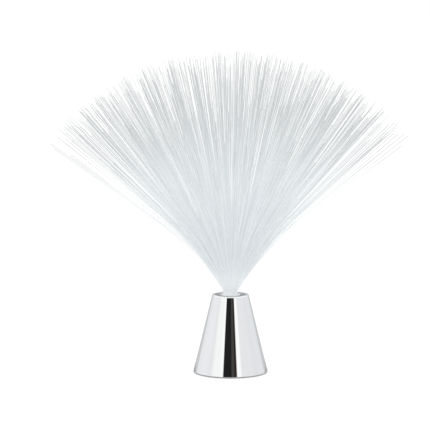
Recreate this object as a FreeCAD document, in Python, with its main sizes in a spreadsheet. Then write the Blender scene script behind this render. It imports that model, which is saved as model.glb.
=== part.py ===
import FreeCAD, Part
import math
import os
import re

import Sketcher

# Fiber optic lamp: a chrome-plated conical base that holds three cells, a switch and a light,
# and a spray of plastic fibres that plugs into the top of it.
# Millimetres, +Z up, origin on the floor under the middle of the base, front towards -Y.

SIZES = {
    # Conical shell; its foot is 75 wide once the edge is rounded
    "shell_base_diameter": 75.5,
    "shell_rim_diameter": 37.2,
    "shell_height": 78.8,
    "shell_base_wall": 2.4,
    "shell_rim_wall": 2.0,
    "shell_floor_gap": 0.6,
    "shell_edge_round": 0.9,
    "shell_lip_round": 0.85,
    # Posts in the shell that take the screws of the bottom plate
    "post_diameter": 6.0,
    "post_height": 16.4,
    "post_side_offset": 10.9,
    "post_inset": 8.45,
    # Bottom plate
    "plate_underside": 1.2,
    "plate_thickness": 2.4,
    "plate_gap": 0.15,
    # Battery bay
    "cell_diameter": 10.5,
    "cell_length": 44.5,
    "cell_nub_diameter": 3.8,
    "cell_nub_height": 1.0,
    "cell_pitch": 11.0,
    "cell_roof_gap": 0.3,
    "bay_side_gap": 0.35,
    "bay_wall": 1.2,
    "bay_corner_round": 2.5,
    # Battery contacts
    "contact_thickness": 0.4,
    "contact_width": 8.0,
    "contact_height": 8.4,
    "contact_bump_diameter": 4.0,
    "contact_bump_height": 1.1,
    "contact_leaf_height": 2.6,
    "contact_leaf_width": 5.0,
    "contact_leaf_rise": 3.6,
    "contact_tab_width": 2.6,
    "contact_tab_rise": 3.2,
    "contact_slot_gap": 0.15,
    # Battery door, its hinge and its pad
    "door_thickness": 1.3,
    "door_lip": 1.0,
    "door_edge_gap": 0.2,
    "door_seat_gap": 0.1,
    "door_notch_width": 12.0,
    "door_notch_depth": 2.4,
    "door_swing_gap": 0.6,
    "hinge_offset": 2.2,
    "hinge_rise": 1.4,
    "hinge_barrel_length": 26.0,
    "hinge_end_gap": 0.3,
    "hinge_groove_gap": 0.15,
    "hinge_pin_diameter": 1.5,
    "hinge_pin_length": 32.0,
    "hinge_pin_gap": 0.05,
    "hinge_cover": 1.1,
    "pad_length": 40.0,
    "pad_width": 16.0,
    "pad_thickness": 1.0,
    "pad_cell_gap": 0.3,
    "grip_pad_diameter": 18.0,
    # Rubber feet
    "foot_diameter": 7.0,
    "foot_seat_depth": 0.8,
    "foot_seat_gap": 0.1,
    "foot_side_offset": 18.0,
    "foot_inset": 10.75,
    "foot_edge_round": 0.5,
    # Screws
    "plate_screw_diameter": 2.6,
    "plate_screw_length": 9.0,
    "plate_screw_head_diameter": 5.0,
    "plate_screw_head_height": 1.1,
    "plate_screw_seat_depth": 1.2,
    "board_screw_diameter": 2.0,
    "board_screw_length": 5.0,
    "board_screw_head_diameter": 3.8,
    "board_screw_head_height": 1.2,
    "screw_hole_gap": 0.2,
    "screw_thread_gap": 0.02,
    "screw_slot_width": 0.6,
    "screw_slot_depth": 0.5,
    # Slide switch
    "switch_inset": 10.35,
    "switch_length": 8.6,
    "switch_width": 4.6,
    "switch_height": 4.0,
    "switch_wall": 0.5,
    "switch_terminal_pitch": 2.5,
    "switch_terminal_width": 0.8,
    "switch_terminal_thickness": 0.5,
    "switch_terminal_height": 3.0,
    "switch_rib_width": 1.2,
    "switch_rib_height": 2.6,
    "switch_rib_gap": 0.1,
    "switch_recess_length": 13.0,
    "switch_recess_width": 6.6,
    "switch_recess_depth": 0.8,
    "knob_length": 3.0,
    "knob_width": 2.2,
    "knob_floor_gap": 0.9,
    "knob_flange_length": 3.8,
    "knob_flange_width": 3.2,
    "knob_flange_height": 1.0,
    "knob_travel": 3.0,
    "knob_gap": 0.1,
    # Light board and its parts; the board hangs this far below the rim of the shell
    "board_depth": 31.6,
    "board_diameter": 32.0,
    "board_thickness": 1.6,
    "board_screw_offset": 13.0,
    "led_diameter": 5.0,
    "led_collar_diameter": 5.8,
    "led_collar_height": 1.0,
    "led_height": 8.6,
    "led_crown_flat": 0.1,
    "led_lead_width": 0.5,
    "led_lead_pitch": 1.27,
    "led_lead_drop": 1.4,
    "led_lead_gap": 0.15,
    "chip_diameter": 6.0,
    "chip_height": 1.4,
    "chip_side_offset": 0.0,
    "chip_depth_offset": 8.0,
    "chip_round": 0.9,
    "resistor_length": 3.2,
    "resistor_width": 1.6,
    "resistor_height": 0.6,
    "resistor_pitch": 3.4,
    "resistor_depth_offset": 7.5,
    # Light socket
    "socket_flange_diameter": 31.0,
    "socket_flange_thickness": 2.0,
    "socket_wall": 1.9,
    "socket_bore_gap": 0.1,
    "socket_ledge_width": 1.3,
    "socket_led_gap": 1.4,
    "socket_web_depth": 12.0,
    "socket_web_thickness": 2.5,
    "socket_shell_gap": 0.1,
    "socket_post_diameter": 4.6,
    "socket_post_height": 6.0,
    # Fibre bundle
    "sleeve_diameter": 16.0,
    "sleeve_wall": 0.6,
    "sleeve_length": 19.6,
    "sleeve_lip_round": 0.25,
    "end_disc_thickness": 2.0,
    "end_disc_gap": 0.03,
    "fiber_diameter": 0.75,
    "fiber_count": 150,
    "fiber_sleeve_gap": 0.05,
    "fiber_length": 250.5,
    "fiber_length_spread": 9.0,
    "fiber_neck_bend_radius": 12.0,
    "fiber_sweep_length": 92.0,
    "fiber_spray_angle": 45.0,
    "fiber_stray_angle": 50.0,
    "fiber_stray_share": 0.06,
    "fiber_angle_spread": 1.6,
    "fiber_side_lean": 1.0,
    "fiber_neck_lean": 0.6,
    "fiber_tip_lean": 1.17,
    # Wires
    "wire_diameter": 1.2,
    "wire_front_pad_offset": 13.5,
    "wire_side_pad_offset": 12.5,
    "wire_side_pad_depth": 6.4,
}

# Places that follow from the sizes, in the order in which they build on each other.
PLACES = {
    # Shell: its bore loses the slope's share of radius for each millimetre of height.
    "shell_top": "shell_floor_gap + shell_height",
    "shell_bore_base": "shell_base_diameter / 2 - shell_base_wall",
    "shell_bore_rim": "shell_rim_diameter / 2 - shell_rim_wall",
    "shell_bore_slope": "(shell_bore_base - shell_bore_rim) / shell_height",
    # What stands near the front and back edges keeps its distance from the bore of the shell.
    "post_depth_offset": "shell_bore_base - post_inset",
    "foot_depth_offset": "shell_bore_base - foot_inset",
    "switch_depth_offset": "shell_bore_base - switch_inset",
    # Bottom plate
    "plate_top": "plate_underside + plate_thickness",
    "plate_low_radius": "shell_bore_base - (plate_underside - shell_floor_gap) * shell_bore_slope"
    " - plate_gap",
    "plate_high_radius": "shell_bore_base - (plate_top - shell_floor_gap) * shell_bore_slope"
    " - plate_gap",
    # Battery bay
    "door_top": "plate_underside + door_thickness",
    "door_seat": "door_top + door_seat_gap",
    "cell_axis": "door_top + pad_thickness + pad_cell_gap + cell_diameter / 2",
    "bay_roof": "cell_axis + cell_diameter / 2 + cell_roof_gap",
    "bay_top": "bay_roof + bay_wall",
    "bay_inner_half_length": "(cell_length + contact_leaf_height + contact_bump_height) / 2"
    " + contact_thickness",
    "bay_inner_half_width": "cell_pitch + cell_diameter / 2 + bay_side_gap",
    "bay_half_length": "bay_inner_half_length + bay_wall",
    "bay_half_width": "bay_inner_half_width + bay_wall",
    "rebate_half_length": "bay_inner_half_length + door_lip + door_edge_gap",
    "rebate_half_width": "bay_inner_half_width + door_lip + door_edge_gap",
    "door_half_length": "bay_inner_half_length + door_lip",
    "door_half_width": "bay_inner_half_width + door_lip",
    "cell_shift": "(contact_leaf_height - contact_bump_height) / 2",
    # Hinge of the battery door
    "hinge_depth": "door_half_width + hinge_offset",
    "hinge_level": "plate_underside + hinge_rise",
    "hinge_groove_radius": "hinge_rise + hinge_groove_gap",
    "hinge_groove_half_length": "hinge_barrel_length / 2 + hinge_end_gap",
    "hinge_cover_half_length": "hinge_pin_length / 2 + hinge_cover",
    "hinge_cover_half_width": "hinge_groove_radius + hinge_cover",
    "hinge_cover_top": "hinge_level + hinge_groove_radius + hinge_cover",
    # Contacts
    "contact_foot": "cell_axis - contact_height / 2",
    "contact_head": "cell_axis + contact_height / 2",
    "tab_top": "bay_top + contact_tab_rise",
    "tab_middle": "bay_inner_half_length - contact_thickness / 2",
    # Feet and screws
    "foot_top": "plate_underside + foot_seat_depth",
    "plate_screw_seat": "plate_underside + plate_screw_seat_depth",
    "post_top": "plate_top + post_height",
    # Switch
    "switch_top": "plate_top + switch_height",
    "switch_terminal_top": "switch_top + switch_terminal_height",
    "switch_floor": "plate_top + switch_wall",
    "switch_recess_roof": "plate_underside + switch_recess_depth",
    "knob_flange_foot": "switch_floor + knob_gap",
    "knob_flange_top": "knob_flange_foot + knob_flange_height",
    # Board and light
    "board_underside": "shell_top - board_depth",
    "board_top": "board_underside + board_thickness",
    "led_top": "board_top + led_height",
    "lead_bottom": "board_underside - led_lead_drop",
    # Socket
    "socket_ledge_height": "led_top + socket_led_gap",
    "socket_web_underside": "shell_top - socket_web_depth",
    "sleeve_radius": "sleeve_diameter / 2",
    "sleeve_bore_radius": "sleeve_radius - sleeve_wall",
    "socket_bore_radius": "sleeve_radius + socket_bore_gap",
    "socket_chamber_radius": "socket_bore_radius - socket_ledge_width",
    "socket_outer_radius": "socket_bore_radius + socket_wall",
    "socket_flange_top": "board_top + socket_flange_thickness",
    "socket_web_top": "socket_web_underside + socket_web_thickness",
    "socket_web_low_radius": "shell_bore_base - (socket_web_underside - shell_floor_gap) * shell_bore_slope"
    " - socket_shell_gap",
    "socket_web_high_radius": "shell_bore_base - (socket_web_top - shell_floor_gap) * shell_bore_slope"
    " - socket_shell_gap",
    # Fibre bundle
    "sleeve_top": "socket_ledge_height + sleeve_length",
    "end_disc_top": "socket_ledge_height + end_disc_thickness",
}

doc = FreeCAD.newDocument("FiberOpticLamp")


def make_sheet():
    """Writes the driving dimensions into the spreadsheet, each under its own alias."""
    sheet = doc.addObject("Spreadsheet::Sheet", "Sizes")
    for row, (name, number) in enumerate(SIZES.items(), start=1):
        sheet.set(f"A{row}", name)
        sheet.set(f"B{row}", str(number))
        sheet.setAlias(f"B{row}", name)
    doc.recompute()
    return sheet


def formula(text):
    """Points each name in a formula at the sheet or at the list of places."""

    def owner(match):
        name = match.group(0)
        if name in SIZES:
            return "Sizes." + name
        if name in PLACES:
            return "Places." + name
        raise NameError(name)

    return re.sub(r"[A-Za-z_]\w*", owner, text)


def bind(item, **formulas):
    """Binds properties of an object; two underscores in a keyword stand for a dot."""
    for path, text in formulas.items():
        item.setExpression(path.replace("__", "."), formula(text))


def make_places():
    """Adds one number for each derived place, bound to the sheet."""
    places = doc.addObject("App::FeaturePython", "Places")
    for name, text in PLACES.items():
        places.addProperty("App::PropertyFloat", name, "Places")
        places.setExpression(name, formula(text))
    doc.recompute()
    return places


sheet = make_sheet()
places = make_places()


def number(name):
    """Reads one size or place as a number."""
    return float(getattr(sheet if name in SIZES else places, name))


def body_named(label):
    """A body that may hold several separate solids of one kind."""
    body = doc.addObject("PartDesign::Body", label)
    body.Label = label
    body.AllowCompound = True
    return body


def sketch_on(body, plane, offset="0"):
    """A sketch on one of the body's own origin planes, moved along its normal."""
    sketch = body.newObject("Sketcher::SketchObject", body.Name + "_sketch")
    origin_plane = next(item for item in body.Origin.OriginFeatures if item.Role == plane)
    sketch.AttachmentSupport = (origin_plane, [""])
    sketch.MapMode = "FlatFace"
    if offset != "0":
        bind(sketch, AttachmentOffset__Base__z=offset)
    return sketch


def hold_point(sketch, geometry, point, across, up):
    """Holds one point of a sketch at two formulas measured from its origin."""
    for kind, text in (("DistanceX", across), ("DistanceY", up)):
        index = sketch.addConstraint(Sketcher.Constraint(kind, -1, 1, geometry, point, 1.0))
        sketch.setExpression(f"Constraints[{index}]", formula(text))


def add_polygon(sketch, corners):
    """A closed outline through corners given as pairs of formulas."""
    count = len(corners)
    first = sketch.GeometryCount
    turn = 2 * math.pi / count
    start = [FreeCAD.Vector(math.cos(turn * i), math.sin(turn * i), 0) for i in range(count)]
    for i in range(count):
        sketch.addGeometry(Part.LineSegment(start[i], start[(i + 1) % count]), False)
    for i in range(count):
        sketch.addConstraint(Sketcher.Constraint("Coincident", first + i, 2, first + (i + 1) % count, 1))
    for i, (across, up) in enumerate(corners):
        hold_point(sketch, first + i, 1, across, up)


def add_rectangle(sketch, left, right, low, high):
    """An upright rectangle between four formulas."""
    add_polygon(sketch, [(left, low), (right, low), (right, high), (left, high)])


def add_circle(sketch, across, up, diameter):
    """A circle with its middle and diameter given as formulas."""
    index = sketch.addGeometry(Part.Circle(FreeCAD.Vector(1, 1, 0), FreeCAD.Vector(0, 0, 1), 1.0), False)
    hold_point(sketch, index, 3, across, up)
    constraint = sketch.addConstraint(Sketcher.Constraint("Diameter", index, 2.0))
    sketch.setExpression(f"Constraints[{constraint}]", formula(diameter))


def revolve(body, corners):
    """Turns an outline of (radius, height) corners once around the Z axis."""
    sketch = sketch_on(body, "XZ_Plane")
    add_polygon(sketch, corners)
    feature = body.newObject("PartDesign::Revolution", body.Name + "_turned")
    feature.Profile = sketch
    feature.ReferenceAxis = (sketch, ["V_Axis"])
    feature.Angle = 360
    doc.recompute()
    return feature


def pad(body, sketch, length, both_sides=False):
    """Adds material from a sketch along its normal."""
    feature = body.newObject("PartDesign::Pad", body.Name + "_pad")
    feature.Profile = sketch
    feature.Midplane = both_sides
    bind(feature, Length=length)
    doc.recompute()
    return feature


def pocket(body, sketch, depth, both_sides=False):
    """Cuts upwards from a sketch, and stops if nothing was cut."""
    before = body.Shape.Volume
    feature = body.newObject("PartDesign::Pocket", body.Name + "_cut")
    feature.Profile = sketch
    feature.Midplane = both_sides
    feature.Reversed = True
    bind(feature, Length=depth)
    doc.recompute()
    if not feature.Shape.Volume < before:
        raise RuntimeError(f"{feature.Name} cuts nothing")
    return feature


def ring_edges(shape, height, radius=None):
    """Names of the round edges that lie flat at a height, and have a radius where one is given."""
    names = []
    for index, edge in enumerate(shape.Edges, start=1):
        curve = edge.Curve
        if not isinstance(curve, Part.Circle):
            continue
        if abs(edge.BoundBox.ZMin - height) > 0.001 or abs(edge.BoundBox.ZMax - height) > 0.001:
            continue
        if radius is None or abs(curve.Radius - radius) < 0.001:
            names.append(f"Edge{index}")
    return names


def upright_edges(shape, low, high):
    """Names of the straight edges that run from one height to another."""
    names = []
    for index, edge in enumerate(shape.Edges, start=1):
        box = edge.BoundBox
        if abs(box.ZMin - low) < 0.001 and abs(box.ZMax - high) < 0.001 and box.XLength + box.YLength < 0.001:
            names.append(f"Edge{index}")
    return names


def fillet(body, edges, radius):
    """Rounds edges of the body's last feature."""
    base = body.Tip
    feature = body.newObject("PartDesign::Fillet", body.Name + "_round")
    feature.Base = (base, edges)
    bind(feature, Radius=radius)
    doc.recompute()
    return feature


FOUR_CORNERS = [(1, 1), (-1, 1), (-1, -1), (1, -1)]


def signed(sign, name):
    """A formula for a size on one side or the other of the middle."""
    return name if sign > 0 else f"-({name})"


# Base shell

def make_chrome_shell():
    """Conical shell with a rounded foot edge, a rolled lip and four screw posts inside."""
    body = body_named("chrome_shell_wall")
    revolve(body, [
        ("shell_bore_base", "shell_floor_gap"),
        ("shell_base_diameter / 2", "shell_floor_gap"),
        ("shell_rim_diameter / 2", "shell_top"),
        ("shell_bore_rim", "shell_top"),
    ])
    shape = body.Shape
    foot = ring_edges(shape, number("shell_floor_gap"), number("shell_base_diameter") / 2)
    fillet(body, foot, "shell_edge_round")
    lip = ring_edges(body.Shape, number("shell_top"))
    fillet(body, lip, "shell_lip_round")

    # The posts end inside the wall, on a cone half a wall below the outer surface.
    posts = []
    for x_sign, y_sign in FOUR_CORNERS:
        post = doc.addObject("Part::Cylinder", "screw_post")
        bind(
            post,
            Radius="post_diameter / 2",
            Height="post_height",
            Placement__Base__x=signed(x_sign, "post_side_offset"),
            Placement__Base__y=signed(y_sign, "post_depth_offset"),
            Placement__Base__z="plate_top",
        )
        posts.append(post)
    core = doc.addObject("Part::Cone", "post_limit")
    bind(
        core,
        Radius1="shell_base_diameter / 2 - shell_base_wall / 2",
        Radius2="shell_rim_diameter / 2 - shell_rim_wall / 2",
        Height="shell_height",
        Placement__Base__z="shell_floor_gap",
    )
    all_posts = doc.addObject("Part::MultiFuse", "all_posts")
    all_posts.Shapes = posts
    trimmed = doc.addObject("Part::Common", "trimmed_posts")
    trimmed.Base = all_posts
    trimmed.Tool = core
    joined = doc.addObject("Part::Fuse", "shell_with_posts")
    joined.Base = body
    joined.Tool = trimmed

    bores = []
    for x_sign, y_sign in FOUR_CORNERS:
        bore = doc.addObject("Part::Cylinder", "post_bore")
        bind(
            bore,
            Radius="plate_screw_diameter / 2 + screw_thread_gap",
            Height="plate_screw_length + screw_hole_gap",
            Placement__Base__x=signed(x_sign, "post_side_offset"),
            Placement__Base__y=signed(y_sign, "post_depth_offset"),
            Placement__Base__z="plate_screw_seat",
        )
        bores.append(bore)
    all_bores = doc.addObject("Part::MultiFuse", "all_post_bores")
    all_bores.Shapes = bores
    shell = doc.addObject("Part::Cut", "chrome_shell")
    shell.Label = "chrome_shell"
    shell.Base = joined
    shell.Tool = all_bores
    return shell


# Bottom plate with the battery bay

def make_bottom_plate():
    """Plate that closes the shell, with the battery bay, the hinge of its door and all seats."""
    body = body_named("bottom_plate")
    revolve(body, [
        ("0", "plate_underside"),
        ("plate_low_radius", "plate_underside"),
        ("plate_high_radius", "plate_top"),
        ("0", "plate_top"),
    ])

    bay = sketch_on(body, "XY_Plane", "plate_top")
    add_rectangle(bay, "-bay_half_length", "bay_half_length", "-bay_half_width", "bay_half_width")
    pad(body, bay, "bay_top - plate_top")
    fillet(body, upright_edges(body.Shape, number("plate_top"), number("bay_top")), "bay_corner_round")

    cover = sketch_on(body, "XY_Plane", "plate_top")
    add_rectangle(
        cover,
        "-hinge_cover_half_length",
        "hinge_cover_half_length",
        "bay_half_width - bay_wall / 2",
        "hinge_depth + hinge_cover_half_width",
    )
    pad(body, cover, "hinge_cover_top - plate_top")

    ribs = sketch_on(body, "XY_Plane", "plate_top")
    for side in (1, -1):
        inner = "switch_length / 2 + switch_rib_gap"
        outer = inner + " + switch_rib_width"
        edges = (inner, outer) if side > 0 else (signed(-1, outer), signed(-1, inner))
        add_rectangle(
            ribs,
            *edges,
            "-switch_depth_offset - switch_width / 2",
            "-switch_depth_offset + switch_width / 2",
        )
    pad(body, ribs, "switch_rib_height")

    cavity = sketch_on(body, "XY_Plane", "plate_underside")
    add_rectangle(
        cavity,
        "-bay_inner_half_length",
        "bay_inner_half_length",
        "-bay_inner_half_width",
        "bay_inner_half_width",
    )
    pocket(body, cavity, "bay_roof - plate_underside")

    rebate = sketch_on(body, "XY_Plane", "plate_underside")
    add_rectangle(
        rebate,
        "-rebate_half_length",
        "rebate_half_length",
        "-rebate_half_width",
        "door_half_width + door_swing_gap",
    )
    pocket(body, rebate, "door_seat - plate_underside")

    # The hinge barrel turns in a groove that is open towards the floor.
    mouth = sketch_on(body, "XY_Plane", "plate_underside")
    add_rectangle(
        mouth,
        "-hinge_groove_half_length",
        "hinge_groove_half_length",
        "door_half_width",
        "hinge_depth + hinge_groove_radius",
    )
    pocket(body, mouth, "hinge_level - plate_underside")
    groove = sketch_on(body, "YZ_Plane")
    add_circle(groove, "hinge_depth", "hinge_level", "2 * hinge_groove_radius")
    pocket(body, groove, "2 * hinge_groove_half_length", both_sides=True)
    pin_bore = sketch_on(body, "YZ_Plane")
    add_circle(pin_bore, "hinge_depth", "hinge_level", "hinge_pin_diameter + 2 * screw_thread_gap")
    pocket(body, pin_bore, "hinge_pin_length + 2 * screw_thread_gap", both_sides=True)

    notch = sketch_on(body, "XY_Plane", "plate_underside")
    add_rectangle(
        notch,
        "-door_notch_width / 2",
        "door_notch_width / 2",
        "-rebate_half_width - door_notch_depth",
        "-rebate_half_width",
    )
    pocket(body, notch, "door_thickness")

    seats = sketch_on(body, "XY_Plane", "plate_underside")
    for x_sign, y_sign in FOUR_CORNERS:
        add_circle(
            seats,
            signed(x_sign, "foot_side_offset"),
            signed(y_sign, "foot_depth_offset"),
            "foot_diameter + 2 * foot_seat_gap",
        )
    pocket(body, seats, "foot_seat_depth")

    heads = sketch_on(body, "XY_Plane", "plate_underside")
    shanks = sketch_on(body, "XY_Plane", "plate_underside")
    for x_sign, y_sign in FOUR_CORNERS:
        middle = (signed(x_sign, "post_side_offset"), signed(y_sign, "post_depth_offset"))
        add_circle(heads, *middle, "plate_screw_head_diameter + 2 * screw_hole_gap")
        add_circle(shanks, *middle, "plate_screw_diameter + 2 * screw_hole_gap")
    pocket(body, heads, "plate_screw_seat_depth")
    pocket(body, shanks, "plate_thickness")

    recess = sketch_on(body, "XY_Plane", "plate_underside")
    add_rectangle(
        recess,
        "-switch_recess_length / 2",
        "switch_recess_length / 2",
        "-switch_depth_offset - switch_recess_width / 2",
        "-switch_depth_offset + switch_recess_width / 2",
    )
    pocket(body, recess, "switch_recess_depth")
    slot = sketch_on(body, "XY_Plane", "plate_underside")
    add_rectangle(
        slot,
        "-(knob_length + knob_travel) / 2 - 2 * knob_gap",
        "(knob_length + knob_travel) / 2 + 2 * knob_gap",
        "-switch_depth_offset - knob_width / 2 - 2 * knob_gap",
        "-switch_depth_offset + knob_width / 2 + 2 * knob_gap",
    )
    pocket(body, slot, "plate_thickness")

    # The tabs of the two end contacts come up through slots in the roof of the bay.
    tabs = sketch_on(body, "XY_Plane", "bay_roof")
    for side in (1, -1):
        near = "bay_inner_half_length - contact_thickness - contact_slot_gap"
        far = "bay_inner_half_length + contact_slot_gap"
        edges = (near, far) if side > 0 else (signed(-1, far), signed(-1, near))
        add_rectangle(
            tabs,
            *edges,
            signed(-side, "cell_pitch") + " - contact_tab_width / 2 - contact_slot_gap",
            signed(-side, "cell_pitch") + " + contact_tab_width / 2 + contact_slot_gap",
        )
    pocket(body, tabs, "bay_wall")
    return body


def make_battery_door():
    """Door with its hinge barrel, bored for the pin, and a slot for the fingernail."""
    body = body_named("battery_door")
    panel = sketch_on(body, "XY_Plane", "plate_underside")
    add_rectangle(panel, "-door_half_length", "door_half_length", "-door_half_width", "door_half_width")
    pad(body, panel, "door_thickness")
    arm = sketch_on(body, "XY_Plane", "plate_underside")
    add_rectangle(
        arm,
        "-hinge_barrel_length / 2",
        "hinge_barrel_length / 2",
        "door_half_width - door_lip",
        "hinge_depth",
    )
    pad(body, arm, "door_thickness")
    barrel = sketch_on(body, "YZ_Plane")
    add_circle(barrel, "hinge_depth", "hinge_level", "2 * hinge_rise")
    pad(body, barrel, "hinge_barrel_length", both_sides=True)
    bore = sketch_on(body, "YZ_Plane")
    add_circle(bore, "hinge_depth", "hinge_level", "hinge_pin_diameter + 2 * hinge_pin_gap")
    pocket(body, bore, "hinge_barrel_length", both_sides=True)
    grip = sketch_on(body, "XY_Plane", "plate_underside")
    add_rectangle(
        grip,
        "-door_notch_width / 2 + door_lip",
        "door_notch_width / 2 - door_lip",
        "-door_half_width + door_lip",
        "-door_half_width + 2 * door_lip",
    )
    pocket(body, grip, "door_thickness / 2")
    return body


def make_hinge_pin():
    """Steel pin through the barrel of the battery door."""
    pin = doc.addObject("Part::Cylinder", "door_hinge_pin")
    pin.Label = "door_hinge_pin"
    pin.Placement.Rotation = FreeCAD.Rotation(FreeCAD.Vector(0, 1, 0), 90)
    bind(
        pin,
        Radius="hinge_pin_diameter / 2",
        Height="hinge_pin_length",
        Placement__Base__x="-hinge_pin_length / 2",
        Placement__Base__y="hinge_depth",
        Placement__Base__z="hinge_level",
    )
    return pin


def make_door_pad():
    """Foam pad glued to the inside of the battery door."""
    body = body_named("door_foam_pad")
    sketch = sketch_on(body, "XY_Plane", "door_top")
    add_rectangle(sketch, "-pad_length / 2", "pad_length / 2", "-pad_width / 2", "pad_width / 2")
    pad(body, sketch, "pad_thickness")
    return body


def make_grip_pad():
    """Round rubber pad under the middle of the battery door, level with the feet."""
    body = body_named("door_grip_pad")
    sketch = sketch_on(body, "XY_Plane")
    add_circle(sketch, "0", "0", "grip_pad_diameter")
    pad(body, sketch, "plate_underside")
    return body


# Cells and contacts. The cells lie along X, and each points the other way from its neighbour.

CELL_SIDES = {-1: 1, 0: -1, 1: 1}


def make_cells():
    """Three cells, each with the nub of its positive end."""
    body = body_named("battery_cells")
    length = "cell_length - cell_nub_height"
    for row, points_to in CELL_SIDES.items():
        across = signed(row, "cell_pitch") if row else "0"
        centre = "cell_shift" if points_to > 0 else "-cell_shift"
        low_end = centre + " - cell_length / 2"
        can_start = low_end if points_to > 0 else low_end + " + cell_nub_height"
        nub_start = centre + " + cell_length / 2 - cell_nub_height" if points_to > 0 else low_end
        can = sketch_on(body, "YZ_Plane", can_start)
        add_circle(can, across, "cell_axis", "cell_diameter")
        pad(body, can, length)
        nub = sketch_on(body, "YZ_Plane", nub_start)
        add_circle(nub, across, "cell_axis", "cell_nub_diameter")
        pad(body, nub, "cell_nub_height")
    return body


def contact_plate(body, side, low, high):
    """The flat of a contact against one end wall of the bay, between two formulas across it."""
    wall = "bay_inner_half_length - contact_thickness" if side > 0 else "-bay_inner_half_length"
    plate = sketch_on(body, "YZ_Plane", wall)
    add_rectangle(plate, low, high, "contact_foot", "contact_head")
    pad(body, plate, "contact_thickness")


def contact_bump(body, side, row):
    """The round bump that meets the nub of a cell."""
    start = "bay_inner_half_length - contact_thickness - contact_bump_height"
    if side < 0:
        start = "-bay_inner_half_length + contact_thickness"
    sketch = sketch_on(body, "YZ_Plane", start)
    add_circle(sketch, signed(row, "cell_pitch") if row else "0", "cell_axis", "contact_bump_diameter")
    pad(body, sketch, "contact_bump_height")


def contact_leaf(body, side, row):
    """The bent leaf that presses on the flat end of a cell."""
    middle = signed(row, "cell_pitch") if row else "0"
    root = "bay_inner_half_length - contact_thickness"
    tip = root + " - contact_leaf_height"
    inner_tip = tip + " + contact_thickness"
    leaf = sketch_on(body, "XZ_Plane", f"-({middle}) - contact_leaf_width / 2")
    add_polygon(leaf, [
        (signed(side, root), "cell_axis - contact_leaf_rise"),
        (signed(side, tip), "cell_axis"),
        (signed(side, root), "cell_axis + contact_leaf_rise"),
        (signed(side, root), "cell_axis + contact_leaf_rise - 2 * contact_thickness"),
        (signed(side, inner_tip), "cell_axis"),
        (signed(side, root), "cell_axis - contact_leaf_rise + 2 * contact_thickness"),
    ])
    pad(body, leaf, "contact_leaf_width")


def contact_tab(body, side):
    """The solder tab that comes up through the roof of the bay."""
    middle = signed(-side, "cell_pitch")
    wall = "bay_inner_half_length - contact_thickness" if side > 0 else "-bay_inner_half_length"
    tab = sketch_on(body, "YZ_Plane", wall)
    add_rectangle(
        tab,
        middle + " - contact_tab_width / 2",
        middle + " + contact_tab_width / 2",
        "contact_head - contact_thickness",
        "tab_top",
    )
    pad(body, tab, "contact_thickness")


def make_contacts():
    """The two end contacts with tabs, and the two links between neighbouring cells."""
    positive = body_named("positive_contact")
    contact_plate(positive, 1, "-cell_pitch - contact_width / 2", "-cell_pitch + contact_width / 2")
    contact_tab(positive, 1)
    contact_bump(positive, 1, -1)

    negative = body_named("negative_contact")
    contact_plate(negative, -1, "cell_pitch - contact_width / 2", "cell_pitch + contact_width / 2")
    contact_tab(negative, -1)
    contact_leaf(negative, -1, 1)

    links = body_named("link_contacts")
    contact_plate(links, 1, "-contact_width / 2", "cell_pitch + contact_width / 2")
    contact_leaf(links, 1, 0)
    contact_bump(links, 1, 1)
    contact_plate(links, -1, "-cell_pitch - contact_width / 2", "contact_width / 2")
    contact_leaf(links, -1, -1)
    contact_bump(links, -1, 0)
    return [positive, negative, links]


# Feet and screws

def make_feet():
    """Four rubber feet in their seats."""
    body = body_named("rubber_feet")
    sketch = sketch_on(body, "XY_Plane")
    for x_sign, y_sign in FOUR_CORNERS:
        add_circle(
            sketch,
            signed(x_sign, "foot_side_offset"),
            signed(y_sign, "foot_depth_offset"),
            "foot_diameter",
        )
    pad(body, sketch, "foot_top")
    fillet(body, ring_edges(body.Shape, 0.0), "foot_edge_round")
    return body


def make_screws(label, middles, seat, name):
    """Pan-head screws that point up, with a slot across each head."""
    body = body_named(label)
    heads = sketch_on(body, "XY_Plane", f"{seat} - {name}_head_height")
    shanks = sketch_on(body, "XY_Plane", seat)
    slots = sketch_on(body, "XY_Plane", f"{seat} - {name}_head_height")
    for across, up in middles:
        add_circle(heads, across, up, f"{name}_head_diameter")
        add_circle(shanks, across, up, f"{name}_diameter")
        add_rectangle(
            slots,
            f"{across} - {name}_head_diameter",
            f"{across} + {name}_head_diameter",
            f"{up} - screw_slot_width / 2",
            f"{up} + screw_slot_width / 2",
        )
    pad(body, heads, f"{name}_head_height")
    pad(body, shanks, f"{name}_length")
    pocket(body, slots, "screw_slot_depth")
    return body


# Slide switch

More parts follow.
